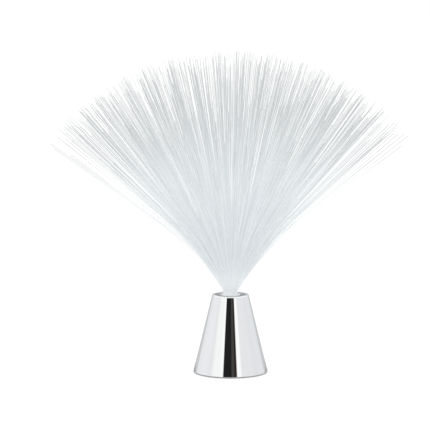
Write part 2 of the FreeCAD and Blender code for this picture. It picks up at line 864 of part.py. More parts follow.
def make_switch():
    """Housing, three terminals and the knob of the slide switch, which is set to off."""
    middle = "-switch_depth_offset"
    housing = body_named("switch_housing")
    outer = sketch_on(housing, "XY_Plane", "plate_top")
    add_rectangle(
        outer,
        "-switch_length / 2",
        "switch_length / 2",
        f"{middle} - switch_width / 2",
        f"{middle} + switch_width / 2",
    )
    pad(housing, outer, "switch_height")
    inner = sketch_on(housing, "XY_Plane", "switch_floor")
    add_rectangle(
        inner,
        "-switch_length / 2 + switch_wall",
        "switch_length / 2 - switch_wall",
        f"{middle} - switch_width / 2 + switch_wall",
        f"{middle} + switch_width / 2 - switch_wall",
    )
    pocket(housing, inner, "switch_height - 2 * switch_wall")
    slot = sketch_on(housing, "XY_Plane", "plate_top")
    add_rectangle(
        slot,
        "-(knob_length + knob_travel) / 2 - knob_gap",
        "(knob_length + knob_travel) / 2 + knob_gap",
        f"{middle} - knob_width / 2 - knob_gap",
        f"{middle} + knob_width / 2 + knob_gap",
    )
    pocket(housing, slot, "switch_wall")

    terminals = body_named("switch_terminals")
    pins = sketch_on(terminals, "XY_Plane", "switch_top")
    for place in (-1, 0, 1):
        across = f"{place} * switch_terminal_pitch"
        add_rectangle(
            pins,
            f"{across} - switch_terminal_thickness / 2",
            f"{across} + switch_terminal_thickness / 2",
            f"{middle} - switch_terminal_width / 2",
            f"{middle} + switch_terminal_width / 2",
        )
    pad(terminals, pins, "switch_terminal_height")

    knob = body_named("switch_knob")
    off = "-knob_travel / 2"
    stem = sketch_on(knob, "XY_Plane", "knob_floor_gap")
    add_rectangle(
        stem,
        f"{off} - knob_length / 2",
        f"{off} + knob_length / 2",
        f"{middle} - knob_width / 2",
        f"{middle} + knob_width / 2",
    )
    pad(knob, stem, "knob_flange_top - knob_floor_gap")
    flange = sketch_on(knob, "XY_Plane", "knob_flange_foot")
    add_rectangle(
        flange,
        f"{off} - knob_flange_length / 2",
        f"{off} + knob_flange_length / 2",
        f"{middle} - knob_flange_width / 2",
        f"{middle} + knob_flange_width / 2",
    )
    pad(knob, flange, "knob_flange_height")
    return [housing, terminals, knob]


# Light board

LEAD_PLACES = (-1.5, -0.5, 0.5, 1.5)


def make_board():
    """Round board with holes for its screws and for the leads of the light."""
    body = body_named("led_board")
    disc = sketch_on(body, "XY_Plane", "board_underside")
    add_circle(disc, "0", "0", "board_diameter")
    pad(body, disc, "board_thickness")
    holes = sketch_on(body, "XY_Plane", "board_underside")
    screw_hole = "board_screw_diameter + 2 * screw_hole_gap"
    for side in (1, -1):
        add_circle(holes, signed(side, "board_screw_offset"), "0", screw_hole)
    for place in LEAD_PLACES:
        add_circle(holes, f"{place} * led_lead_pitch", "0", "led_lead_width + 2 * led_lead_gap")
    pocket(body, holes, "board_thickness")
    return body


def make_led():
    """Clear dome light with a collar, standing on the board, and its four leads."""
    led = body_named("rgb_led")
    revolve(led, [
        ("0", "board_top"),
        ("led_collar_diameter / 2", "board_top"),
        ("led_collar_diameter / 2", "board_top + led_collar_height"),
        ("led_diameter / 2", "board_top + led_collar_height"),
        ("led_diameter / 2", "led_top"),
        ("0", "led_top"),
    ])
    crown = ring_edges(led.Shape, number("led_top"))
    fillet(led, crown, "led_diameter / 2 - led_crown_flat")

    leads = body_named("led_leads")
    sketch = sketch_on(leads, "XY_Plane", "lead_bottom")
    for place in LEAD_PLACES:
        add_circle(sketch, f"{place} * led_lead_pitch", "0", "led_lead_width")
    pad(leads, sketch, "board_top - lead_bottom")
    return [led, leads]


def make_board_parts():
    """The driver chip under its blob, and three chip resistors, on the underside of the board."""
    chip = body_named("driver_chip")
    blob = sketch_on(chip, "XY_Plane", "board_underside - chip_height")
    add_circle(blob, "chip_side_offset", "chip_depth_offset", "chip_diameter")
    pad(chip, blob, "chip_height")
    low_edge = ring_edges(chip.Shape, number("board_underside") - number("chip_height"))
    fillet(chip, low_edge, "chip_round")

    resistors = body_named("chip_resistors")
    sketch = sketch_on(resistors, "XY_Plane", "board_underside - resistor_height")
    for place in (-1, 0, 1):
        across = f"{place} * resistor_pitch"
        add_rectangle(
            sketch,
            f"{across} - resistor_width / 2",
            f"{across} + resistor_width / 2",
            "-resistor_depth_offset - resistor_length / 2",
            "-resistor_depth_offset + resistor_length / 2",
        )
    pad(resistors, sketch, "resistor_height")
    return [chip, resistors]


def make_socket():
    """Moulded holder: a tube for the sleeve, a ledge under it, a web to the shell and a flange."""
    body = body_named("light_socket")
    revolve(body, [
        ("socket_chamber_radius", "board_top"),
        ("socket_flange_diameter / 2", "board_top"),
        ("socket_flange_diameter / 2", "socket_flange_top"),
        ("socket_outer_radius", "socket_flange_top"),
        ("socket_outer_radius", "socket_web_underside"),
        ("socket_web_low_radius", "socket_web_underside"),
        ("socket_web_high_radius", "socket_web_top"),
        ("socket_bore_radius", "socket_web_top"),
        ("socket_bore_radius", "socket_ledge_height"),
        ("socket_chamber_radius", "socket_ledge_height"),
    ])
    posts = sketch_on(body, "XY_Plane", "board_top")
    bores = sketch_on(body, "XY_Plane", "board_top")
    for side in (1, -1):
        middle = signed(side, "board_screw_offset")
        add_circle(posts, middle, "0", "socket_post_diameter")
        add_circle(bores, middle, "0", "board_screw_diameter + 2 * screw_thread_gap")
    pad(body, posts, "socket_post_height")
    pocket(body, bores, "board_screw_length - board_thickness + screw_hole_gap")
    return body


# Fibre bundle

def make_sleeve():
    """Thin sleeve that holds the fibres together, and the clear disc at its lower end."""
    sleeve = body_named("fiber_sleeve")
    revolve(sleeve, [
        ("sleeve_bore_radius", "socket_ledge_height"),
        ("sleeve_radius", "socket_ledge_height"),
        ("sleeve_radius", "sleeve_top"),
        ("sleeve_bore_radius", "sleeve_top"),
    ])
    lip = ring_edges(sleeve.Shape, number("sleeve_top"), number("sleeve_radius"))
    fillet(sleeve, lip, "sleeve_lip_round")

    disc = body_named("fiber_end_disc")
    revolve(disc, [
        ("0", "socket_ledge_height"),
        ("sleeve_bore_radius - end_disc_gap", "socket_ledge_height"),
        ("sleeve_bore_radius - end_disc_gap", "end_disc_top"),
        ("0", "end_disc_top"),
    ])
    return [sleeve, disc]


def halton(index, base):
    """An even, repeatable scatter between 0 and 1."""
    share = 1.0
    total = 0.0
    while index > 0:
        share /= base
        total += share * (index % base)
        index //= base
    return total


def bend(radius, start_angle, end_angle, start):
    """Middle and end of an arc that leans outwards, in a plane through the axis, as (r, z) pairs."""
    middle_r = start[0] + radius * math.cos(start_angle)
    middle_z = start[1] - radius * math.sin(start_angle)

    def at(angle):
        return (middle_r - radius * math.cos(angle), middle_z + radius * math.sin(angle))

    return at((start_angle + end_angle) / 2), at(end_angle)


def fiber_path(radius, azimuth, lean, length):
    """One fibre: straight in the sleeve, a bend at its mouth, a long sweep outwards, then straight."""
    neck_angle = lean * number("fiber_neck_lean")
    tip_angle = lean * number("fiber_tip_lean")
    bottom = number("end_disc_top")
    mouth = number("sleeve_top")
    neck_radius = number("fiber_neck_bend_radius")
    sweep_length = number("fiber_sweep_length")
    sweep_radius = sweep_length / (tip_angle - neck_angle)
    straight = length - neck_radius * neck_angle - sweep_length

    def point(pair):
        return FreeCAD.Vector(pair[0] * math.cos(azimuth), pair[0] * math.sin(azimuth), pair[1])

    mouth_point = (radius, mouth)
    bend_middle, bend_end = bend(neck_radius, 0.0, neck_angle, mouth_point)
    sweep_middle, sweep_end = bend(sweep_radius, neck_angle, tip_angle, bend_end)
    tip = (sweep_end[0] + straight * math.sin(tip_angle), sweep_end[1] + straight * math.cos(tip_angle))
    edges = [
        Part.LineSegment(point((radius, bottom)), point(mouth_point)).toShape(),
        Part.Arc(point(mouth_point), point(bend_middle), point(bend_end)).toShape(),
        Part.Arc(point(bend_end), point(sweep_middle), point(sweep_end)).toShape(),
        Part.LineSegment(point(sweep_end), point(tip)).toShape(),
    ]
    return Part.Wire(edges)


def tube_along(path, diameter):
    """A solid round tube along a path."""
    start = path.OrderedVertexes[0].Point
    direction = path.OrderedEdges[0].tangentAt(path.OrderedEdges[0].FirstParameter)
    section = Part.Wire([Part.Circle(start, direction, diameter / 2).toShape()])
    return path.makePipeShell([section], True, True)


LEAST_LEAN = 0.2


def make_fibers():
    """All fibres: set out like the seeds of a sunflower in the sleeve, leaning more towards its edge.

    The whole spray leans a little towards -X.
    """
    count = int(number("fiber_count"))
    diameter = number("fiber_diameter")
    spread = number("sleeve_bore_radius") - number("fiber_sleeve_gap") - diameter / 2
    golden_turn = math.pi * (3 - math.sqrt(5))
    cap = 1 - math.cos(math.radians(number("fiber_spray_angle")))
    regular_share = 1 - number("fiber_stray_share")
    extra = number("fiber_stray_angle") - number("fiber_spray_angle")
    solids = []
    for index in range(count):
        share = (index + 0.5) / count
        radius = spread * math.sqrt(share)
        azimuth = golden_turn * index
        covered = min(share / regular_share, 1.0)
        lean = math.degrees(math.acos(1 - covered * cap))
        lean += max(share - regular_share, 0.0) / (1 - regular_share) * extra
        scatter = 2 * halton(index + 1, 2) - 1
        lean += scatter * number("fiber_angle_spread") * min(lean / 10, 1.0)
        lean = max(lean - number("fiber_side_lean") * math.cos(azimuth), LEAST_LEAN)
        length = number("fiber_length") - number("fiber_length_spread") * halton(index + 1, 3)
        path = fiber_path(radius, azimuth, math.radians(lean), length)
        solids.append(tube_along(path, diameter))
    fibers = doc.addObject("Part::Feature", "optical_fibers")
    fibers.Label = "optical_fibers"
    fibers.Shape = Part.makeCompound(solids)
    return fibers


# Wires

def rounded_route(label, points):
    """Straight runs joined by arcs as large as the runs allow."""
    edges = []
    radii = []
    start = points[0]
    for before, corner, after in zip(points, points[1:], points[2:]):
        inward = (corner - before).normalize()
        outward = (after - corner).normalize()
        turn = inward.getAngle(outward)
        shorter = min((corner - before).Length, (after - corner).Length)
        cut = 0.45 * shorter
        radius = cut / math.tan(turn / 2)
        radii.append(round(radius, 1))
        arc_start = corner - inward * cut
        arc_end = corner + outward * cut
        to_centre = (outward - inward).normalize()
        centre = corner + to_centre * (radius / math.cos(turn / 2))
        arc_middle = centre - to_centre * radius
        edges.append(Part.LineSegment(start, arc_start).toShape())
        edges.append(Part.Arc(arc_start, arc_middle, arc_end).toShape())
        start = arc_end
    edges.append(Part.LineSegment(start, points[-1]).toShape())
    print(label, "arc radii in mm", radii)
    return Part.Wire(edges)


def make_wire(label, points):
    """One insulated wire between two solder points."""
    diameter = number("wire_diameter")
    path = rounded_route(label, [FreeCAD.Vector(*point) for point in points])
    wire = doc.addObject("Part::Feature", label)
    wire.Label = label
    wire.Shape = tube_along(path, diameter)
    section = math.pi * diameter * diameter / 4
    print(label, "volume over section times length", round(wire.Shape.Volume / section / path.Length, 4))
    return wire


def make_wires():
    """Battery to switch, switch to board, and battery to board."""
    tab_x = number("tab_middle")
    tab_y = number("cell_pitch")
    tab_top = number("tab_top")
    pin_y = -number("switch_depth_offset")
    pin_x = number("switch_terminal_pitch")
    pin_top = number("switch_terminal_top")
    board = number("board_underside")
    bay_top = number("bay_top")
    front_y = -number("wire_front_pad_offset")
    side_x = -number("wire_side_pad_offset")
    side_y = number("wire_side_pad_depth")
    middle_z = (bay_top + board) / 2
    # The corners between the solder points are set by hand, clear of the posts and the socket.
    red_in = make_wire("battery_wire_red", [
        (tab_x, -tab_y, tab_top),
        (tab_x, -tab_y, tab_top + 4),
        (tab_x - 6, -tab_y - 5, tab_top + 6),
        (tab_x - 14, -tab_y - 9.5, tab_top + 4),
        (pin_x, pin_y, pin_top + 5),
        (pin_x, pin_y, pin_top),
    ])
    red_out = make_wire("switch_wire_red", [
        (0, pin_y, pin_top),
        (0, pin_y, pin_top + 6),
        (-2, pin_y + 1, middle_z - 6),
        (-1, pin_y + 7, middle_z + 5),
        (0, front_y, board - 6),
        (0, front_y, board),
    ])
    black = make_wire("battery_wire_black", [
        (-tab_x, tab_y, tab_top),
        (-tab_x, tab_y, tab_top + 6),
        (-tab_x + 4, tab_y + 1, middle_z),
        (-tab_x + 9, tab_y - 2, middle_z + 9),
        (side_x, side_y, board - 5),
        (side_x, side_y, board),
    ])
    return [red_in, red_out, black]


def check_and_write(pieces):
    """Stops on any failed object, then writes each piece under its own name."""
    doc.recompute()
    for item in doc.Objects:
        if "Invalid" in item.State or "Error" in item.State:
            raise RuntimeError(f"{item.Name} failed: {item.State}")
    os.makedirs("parts", exist_ok=True)
    for piece in pieces:
        shape = piece.Shape
        if shape.isNull() or not shape.isValid() or not shape.Solids:
            raise RuntimeError(f"{piece.Label} has no valid solid")
        shape.exportStep(f"parts/{piece.Label}.step")
        print(f"{piece.Label}: {len(shape.Solids)} solids, {shape.Volume:.1f} mm3")


PLATE_SCREW_MIDDLES = [
    (signed(x_sign, "post_side_offset"), signed(y_sign, "post_depth_offset"))
    for x_sign, y_sign in FOUR_CORNERS
]
BOARD_SCREW_MIDDLES = [("board_screw_offset", "0"), ("-board_screw_offset", "0")]

check_and_write([
    make_chrome_shell(),
    make_bottom_plate(),
    make_battery_door(),
    make_hinge_pin(),
    make_door_pad(),
    make_grip_pad(),
    make_cells(),
    *make_contacts(),
    make_feet(),
    make_screws("plate_screws", PLATE_SCREW_MIDDLES, "plate_screw_seat", "plate_screw"),
    *make_switch(),
    make_board(),
    *make_led(),
    *make_board_parts(),
    make_screws("board_screws", BOARD_SCREW_MIDDLES, "board_underside", "board_screw"),
    make_socket(),
    *make_sleeve(),
    make_fibers(),
    *make_wires(),
])
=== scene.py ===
import logging
import math
import random
from dataclasses import dataclass, field
from enum import Enum

import bmesh
import bpy
from mathutils import Matrix, Vector


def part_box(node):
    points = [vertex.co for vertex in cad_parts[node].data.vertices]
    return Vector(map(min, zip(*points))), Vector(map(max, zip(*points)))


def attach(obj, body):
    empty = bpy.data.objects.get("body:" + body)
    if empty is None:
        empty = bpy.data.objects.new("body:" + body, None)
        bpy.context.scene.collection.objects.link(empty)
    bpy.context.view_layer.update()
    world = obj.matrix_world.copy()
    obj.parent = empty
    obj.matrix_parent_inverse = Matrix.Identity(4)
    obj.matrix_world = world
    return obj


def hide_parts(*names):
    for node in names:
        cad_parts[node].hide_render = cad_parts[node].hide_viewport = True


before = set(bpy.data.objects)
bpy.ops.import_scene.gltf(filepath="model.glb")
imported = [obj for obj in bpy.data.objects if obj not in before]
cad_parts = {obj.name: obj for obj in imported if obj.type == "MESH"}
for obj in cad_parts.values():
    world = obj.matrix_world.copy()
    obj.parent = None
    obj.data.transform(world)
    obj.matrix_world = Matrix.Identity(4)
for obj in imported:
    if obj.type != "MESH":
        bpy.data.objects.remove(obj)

# Looks of the fiber optic lamp: a mirror-bright cone, a spray of clear fibres, and the small parts
# under and inside the cone. Metres, +Z up, front towards -Y.

log = logging.getLogger("fiber_lamp")
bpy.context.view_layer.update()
MM = 0.001
GOLDEN_ANGLE = math.degrees(math.pi * (3 - math.sqrt(5)))

Tree = bpy.types.NodeTree
Node = bpy.types.Node
Socket = bpy.types.NodeSocket
Material = bpy.types.Material
Color = tuple[float, float, float, float]
Pair = tuple[float, float]
Point = tuple[float, float, float]


def rgb(red: float, green: float, blue: float) -> Color:
    """Makes a solid linear colour."""
    return (red, green, blue, 1.0)


def grey(tone: float) -> Color:
    """Makes a grey linear colour with full alpha."""
    return rgb(tone, tone, tone)


WHITE = grey(1.0)


# Shared surface effects, as node groups

class Effect(Enum):
    """Names of the node groups that several finishes share."""

    GRAIN = "moulded_grain"
    WEAR = "handling_wear"
    DUST = "settled_dust"


def new_group(name: str, inputs: dict[str, float], outputs: dict[str, str]) -> Tree:
    """Makes an empty node group with float inputs.

    Args:
        name: the group's name.
        inputs: each input's name and its default.
        outputs: each output's name and its socket type.

    Returns:
        The group, with its input and output nodes named "in" and "out".
    """
    group = bpy.data.node_groups.new(name, "ShaderNodeTree")
    for socket_name, default in inputs.items():
        socket = group.interface.new_socket(name=socket_name, in_out="INPUT", socket_type="NodeSocketFloat")
        socket.default_value = default
    for socket_name, kind in outputs.items():
        group.interface.new_socket(name=socket_name, in_out="OUTPUT", socket_type=kind)
    group.nodes.new("NodeGroupInput").name = "in"
    group.nodes.new("NodeGroupOutput").name = "out"
    return group


def add_noise(tree: Tree, detail: float, roughness: float) -> Node:
    """Adds a noise texture that reads the object's own coordinates, in metres.

    Args:
        tree: the node tree to add to.
        detail: how many finer layers the noise has.
        roughness: how strong the finer layers are.

    Returns:
        The noise node.
    """
    place = tree.nodes.new("ShaderNodeTexCoord")
    noise = tree.nodes.new("ShaderNodeTexNoise")
    noise.inputs["Detail"].default_value = detail
    noise.inputs["Roughness"].default_value = roughness
    tree.links.new(place.outputs["Object"], noise.inputs["Vector"])
    return noise


def add_range(tree: Tree, value: Socket, low: float, high: float) -> Socket:
    """Spreads a value between low and high softly over 0 to 1.

    Args:
        tree: the node tree to add to.
        value: the output to spread.
        low: value that becomes 0.
        high: value that becomes 1.

    Returns:
        The output that holds the result.
    """
    spread = tree.nodes.new("ShaderNodeMapRange")
    spread.interpolation_type = "SMOOTHSTEP"
    spread.inputs["From Min"].default_value = low
    spread.inputs["From Max"].default_value = high
    tree.links.new(value, spread.inputs["Value"])
    return spread.outputs["Result"]


def join_values(
    tree: Tree, operation: str, first: Socket, second: Socket
) -> Socket:
    """Joins two values by a math node.

    Args:
        tree: the node tree to add to.
        operation: the node's operation.
        first: output that holds the first value.
        second: output that holds the second value.

    Returns:
        The joined value's output.
    """
    node = tree.nodes.new("ShaderNodeMath")
    node.operation = operation
    tree.links.new(first, node.inputs[0])
    tree.links.new(second, node.inputs[1])
    return node.outputs[0]


def grain_group() -> Tree:
    """Makes the fine pitted texture of moulded plastic: a height for bump and a slow tone for colour.

    Returns:
        The group.
    """
    group = new_group(
        Effect.GRAIN.value,
        {"Grain Scale": 2500.0, "Tone Scale": 60.0},
        {"Height": "NodeSocketFloat", "Tone": "NodeSocketFloat"},
    )
    nodes, links = group.nodes, group.links
    grain = add_noise(group, detail=3.0, roughness=0.6)
    links.new(nodes["in"].outputs["Grain Scale"], grain.inputs["Scale"])
    tone = add_noise(group, detail=4.0, roughness=0.55)
    links.new(nodes["in"].outputs["Tone Scale"], tone.inputs["Scale"])
    spread = add_range(group, tone.outputs["Fac"], 0.3, 0.7)
    links.new(grain.outputs["Fac"], nodes["out"].inputs["Height"])
    links.new(spread, nodes["out"].inputs["Tone"])
    return group


def wear_group() -> Tree:
    """Makes hairline scratches and handling smudges, as a mask from 0 to 1.

    Returns:
        The group.
    """
    group = new_group(
        Effect.WEAR.value,
        {"Scratch Scale": 900.0, "Smudge Scale": 45.0, "Amount": 0.5},
        {"Mask": "NodeSocketFloat"},
    )
    nodes, links = group.nodes, group.links
    place = nodes.new("ShaderNodeTexCoord")
    stretch = nodes.new("ShaderNodeMapping")
    stretch.inputs["Scale"].default_value = (1.0, 1.0, 0.06)
    stretch.inputs["Rotation"].default_value = (0.5, 0.3, 0.0)
    scratch = nodes.new("ShaderNodeTexNoise")
    scratch.inputs["Detail"].default_value = 2.0
    links.new(place.outputs["Object"], stretch.inputs["Vector"])
    links.new(stretch.outputs["Vector"], scratch.inputs["Vector"])
    links.new(nodes["in"].outputs["Scratch Scale"], scratch.inputs["Scale"])
    lines = add_range(group, scratch.outputs["Fac"], 0.66, 0.74)
    smudge = add_noise(group, detail=5.0, roughness=0.6)
    links.new(nodes["in"].outputs["Smudge Scale"], smudge.inputs["Scale"])
    patches = add_range(group, smudge.outputs["Fac"], 0.45, 0.7)
    both = join_values(group, "MAXIMUM", lines, patches)
    mask = join_values(group, "MULTIPLY", both, nodes["in"].outputs["Amount"])
    links.new(mask, nodes["out"].inputs["Mask"])
    return group


def dust_group() -> Tree:
    """Makes the dust that gathers on surfaces that face up, as a mask from 0 to 1.

    Returns:
        The group.
    """
    group = new_group(
        Effect.DUST.value,
        {"Speck Scale": 1200.0, "Amount": 0.2},
        {"Mask": "NodeSocketFloat"},
    )
    nodes, links = group.nodes, group.links
    facing = nodes.new("ShaderNodeNewGeometry")
    split = nodes.new("ShaderNodeSeparateXYZ")
    links.new(facing.outputs["Normal"], split.inputs["Vector"])
    upward = add_range(group, split.outputs["Z"], 0.2, 1.0)
    specks = add_noise(group, detail=4.0, roughness=0.7)
    links.new(nodes["in"].outputs["Speck Scale"], specks.inputs["Scale"])
    spread = add_range(group, specks.outputs["Fac"], 0.45, 0.75)
    where = join_values(group, "MULTIPLY", upward, spread)
    mask = join_values(group, "MULTIPLY", where, nodes["in"].outputs["Amount"])
    links.new(mask, nodes["out"].inputs["Mask"])
    return group


GROUP_MAKERS = {Effect.GRAIN: grain_group, Effect.WEAR: wear_group, Effect.DUST: dust_group}


def place_group(tree: Tree, effect: Effect, **values: float) -> Node:
    """Places a shared effect in a material.

    Args:
        tree: the material's node tree.
        effect: which effect.
        values: its inputs, with underscores for spaces.

    Returns:
        The group node.
    """
    group = bpy.data.node_groups.get(effect.value) or GROUP_MAKERS[effect]()
    node = tree.nodes.new("ShaderNodeGroup")
    node.node_tree = group
    for name, value in values.items():
        node.inputs[name.replace("_", " ")].default_value = value
    return node


def mix_color(tree: Tree, factor: Socket, first: Color, second: Color) -> Node:
    """Adds a colour mix.

    Args:
        tree: the node tree to add to.
        factor: the output that drives it.
        first: colour where the factor is 0.
        second: colour where the factor is 1.

    Returns:
        The mix node.
    """
    mix = tree.nodes.new("ShaderNodeMix")
    mix.data_type = "RGBA"
    mix.inputs["A"].default_value = first
    mix.inputs["B"].default_value = second
    tree.links.new(factor, mix.inputs["Factor"])
    return mix


def scale_value(tree: Tree, mask: Socket, low: float, high: float) -> Socket:
    """Turns a mask from 0 to 1 into values from low to high.

    Args:
        tree: the node tree to add to.
        mask: the output that holds the mask.
        low: value where the mask is 0.
        high: value where the mask is 1.

    Returns:
        The output that holds the result.
    """
    spread = tree.nodes.new("ShaderNodeMapRange")
    spread.inputs["To Min"].default_value = low
    spread.inputs["To Max"].default_value = high
    tree.links.new(mask, spread.inputs["Value"])
    return spread.outputs["Result"]


def drive_roughness(
    tree: Tree, shader: Node, mask: Socket, span: Pair
) -> None:
    """Lets a mask drive a shader's roughness.

    Args:
        tree: the material's node tree.
        shader: its Principled shader.
        mask: output that holds the mask.
        span: roughness where the mask is 0 and where it is 1.
    """
    tree.links.new(scale_value(tree, mask, *span), shader.inputs["Roughness"])


def drive_bump(
    tree: Tree,
    shader: Node,
    height: Socket,
    strength: float,
    distance: float = 0.1 * MM,
) -> None:
    """Lets a height drive a shader's normal.

    Args:
        tree: the material's node tree.
        shader: its Principled shader.
        height: output that holds the height.
        strength: strength of the bump.
        distance: depth of the bump, in metres.
    """
    bump = tree.nodes.new("ShaderNodeBump")
    bump.inputs["Strength"].default_value = strength
    bump.inputs["Distance"].default_value = distance
    tree.links.new(height, bump.inputs["Height"])
    tree.links.new(bump.outputs["Normal"], shader.inputs["Normal"])


def new_material(name: str) -> tuple[Material, Tree, Node]:
    """Makes a material with nodes.

    Args:
        name: the material's name.

    Returns:
        The material, its node tree and its Principled shader.
    """
    material = bpy.data.materials.new(name)
    material.use_nodes = True
    tree = material.node_tree
    return material, tree, tree.nodes["Principled BSDF"]


# Finishes

@dataclass(frozen=True)
class MouldedPlastic:
    """Moulded plastic, rubber, foam or resin with grain, tone, wear and dust."""

    name: str
    base: Color
    shade: Color
    roughness: Pair = (0.4, 0.55)
    grain_scale: float = 2600.0
    bump: float = 0.12
    wear: float = 0.3
    dust: float = 0.08

    def build(self) -> Material:
        """Makes the material.

        Returns:
            The material.
        """
        material, tree, shader = new_material(self.name)
        links = tree.links
        grain = place_group(tree, Effect.GRAIN, Grain_Scale=self.grain_scale, Tone_Scale=90.0)
        dust = place_group(tree, Effect.DUST, Amount=self.dust)
        wear = place_group(tree, Effect.WEAR, Amount=self.wear)
        tone = mix_color(tree, grain.outputs["Tone"], self.base, self.shade)
        dusted = mix_color(tree, dust.outputs["Mask"], self.base, rgb(0.55, 0.54, 0.52))
        links.new(tone.outputs["Result"], dusted.inputs["A"])
        links.new(dusted.outputs["Result"], shader.inputs["Base Color"])
        drive_roughness(tree, shader, wear.outputs["Mask"], self.roughness)
        drive_bump(tree, shader, grain.outputs["Height"], self.bump)
        return material


@dataclass(frozen=True)
class SheetMetal:
    """Plated or tinned metal with drawn streaks and handling marks."""

    name: str
    base: Color
    shade: Color
    roughness: Pair = (0.18, 0.35)
    streak_scale: float = 700.0
    bump: float = 0.05

    def build(self) -> Material:
        """Makes the material.

        Returns:
            The material.
        """
        material, tree, shader = new_material(self.name)
        links = tree.links
        grain = place_group(tree, Effect.GRAIN, Grain_Scale=self.streak_scale, Tone_Scale=300.0)
        wear = place_group(tree, Effect.WEAR, Amount=0.7)
        tone = mix_color(tree, grain.outputs["Tone"], self.base, self.shade)
        links.new(tone.outputs["Result"], shader.inputs["Base Color"])
        drive_roughness(tree, shader, wear.outputs["Mask"], self.roughness)
        drive_bump(tree, shader, grain.outputs["Height"], self.bump)
        shader.inputs["Metallic"].default_value = 1.0
        return material


@dataclass(frozen=True)
class MirrorChrome:
    """Mirror-bright plating over moulded plastic, with the faintest smudges and ripple."""

    name: str = "mirror_chrome"
    base: Color = rgb(0.965, 0.968, 0.972)
    shade: Color = rgb(0.93, 0.935, 0.945)
    roughness: Pair = (0.012, 0.07)
    ripple_scale: float = 22.0
    ripple: float = 0.02
    ripple_depth: float = 0.5 * MM

    def build(self) -> Material:
        """Makes the material.

        Returns:
            The material.
        """
        material, tree, shader = new_material(self.name)
        links = tree.links
        wear = place_group(tree, Effect.WEAR, Scratch_Scale=1400.0, Smudge_Scale=60.0, Amount=0.35)
        dust = place_group(tree, Effect.DUST, Speck_Scale=2500.0, Amount=0.25)
        tone = mix_color(tree, wear.outputs["Mask"], self.base, self.shade)
        links.new(tone.outputs["Result"], shader.inputs["Base Color"])
        marks = join_values(tree, "MAXIMUM", wear.outputs["Mask"], dust.outputs["Mask"])
        drive_roughness(tree, shader, marks, self.roughness)
        ripple = add_noise(tree, detail=1.0, roughness=0.4)
        ripple.inputs["Scale"].default_value = self.ripple_scale
        drive_bump(tree, shader, ripple.outputs["Fac"], self.ripple, self.ripple_depth)
        shader.inputs["Metallic"].default_value = 1.0
        return material


@dataclass(frozen=True)
class DrawnFiber:
    """Clear drawn acrylic with painted light: lighter where the fibres crowd together near the neck, greyer
    towards the tips where each stands alone.

    The glow is painted light that stands for the light neighbouring strands pass on to each other, with an
    extra painted glow at the neck.
    """

    name: str
    # Painted light: the base colour runs from the crowded tone near the neck to the greyer alone tone
    # towards the tips, and the emission is a painted glow, strongest at the neck.
    crowded: Color = rgb(0.62, 0.645, 0.655)
    alone: Color = rgb(0.4, 0.415, 0.42)
    neck_painted_glow: Color = rgb(0.305, 0.308, 0.315)
    crowded_painted_glow: Color = rgb(0.225, 0.235, 0.24)
    alone_painted_glow: Color = rgb(0.225, 0.235, 0.24)
    neck_until: float = 0.05
    crowded_until: float = 0.135
    alone_from: float = 0.235
    neck_height: float = 0.08
    strand_tones: Pair = (0.93, 1.06)
    roughness: Pair = (0.22, 0.34)

    def build(self) -> Material:
        """Makes the material.

        Returns:
            The material.
        """
        material, tree, shader = new_material(self.name)
        links = tree.links
        place = tree.nodes.new("ShaderNodeTexCoord")
        from_neck = tree.nodes.new("ShaderNodeVectorMath")
        from_neck.operation = "DISTANCE"
        from_neck.inputs[1].default_value = (0.0, 0.0, self.neck_height)
        links.new(place.outputs["Object"], from_neck.inputs[0])
        # Painted light and shade: lighter base colour near the neck, greyer towards the tips.
        along = add_range(tree, from_neck.outputs["Value"], self.crowded_until, self.alone_from)
        strand = tree.nodes.new("ShaderNodeAttribute")
        strand.attribute_name = "strand_tone"
        tone = mix_color(tree, along, self.crowded, self.alone)
        shade = tree.nodes.new("ShaderNodeHueSaturation")
        value = scale_value(tree, strand.outputs["Fac"], *self.strand_tones)
        links.new(value, shade.inputs["Value"])
        links.new(tone.outputs["Result"], shade.inputs["Color"])
        links.new(shade.outputs["Color"], shader.inputs["Base Color"])
        # Painted glow, stronger at the neck to lift the crowded strands there.
        above_neck = add_range(tree, from_neck.outputs["Value"], 0.0, self.neck_until)
        low_glow = mix_color(tree, above_neck, self.neck_painted_glow, self.crowded_painted_glow)
        glow = mix_color(tree, along, self.crowded_painted_glow, self.alone_painted_glow)
        links.new(low_glow.outputs["Result"], glow.inputs["A"])
        links.new(glow.outputs["Result"], shader.inputs["Emission Color"])
        shader.inputs["Emission Strength"].default_value = 1.0
        wear = place_group(tree, Effect.WEAR, Scratch_Scale=2500.0, Smudge_Scale=120.0, Amount=0.6)
        drive_roughness(tree, shader, wear.outputs["Mask"], self.roughness)
        shader.inputs["IOR"].default_value = 1.49
        return material


@dataclass(frozen=True)
class ClearResin:
    """Water-clear moulded resin with slight flow marks."""

    name: str
    tint: Color = rgb(0.97, 0.98, 1.0)
    shade: Color = rgb(0.9, 0.92, 0.96)
    roughness: Pair = (0.02, 0.12)

    def build(self) -> Material:
        """Makes the material.

        Returns:
            The material.
        """
        material, tree, shader = new_material(self.name)
        links = tree.links
        grain = place_group(tree, Effect.GRAIN, Grain_Scale=400.0, Tone_Scale=500.0)
        tone = mix_color(tree, grain.outputs["Tone"], self.tint, self.shade)
        links.new(tone.outputs["Result"], shader.inputs["Base Color"])
        drive_roughness(tree, shader, grain.outputs["Tone"], self.roughness)
        shader.inputs["Transmission Weight"].default_value = 0.9
        shader.inputs["IOR"].default_value = 1.5
        return material


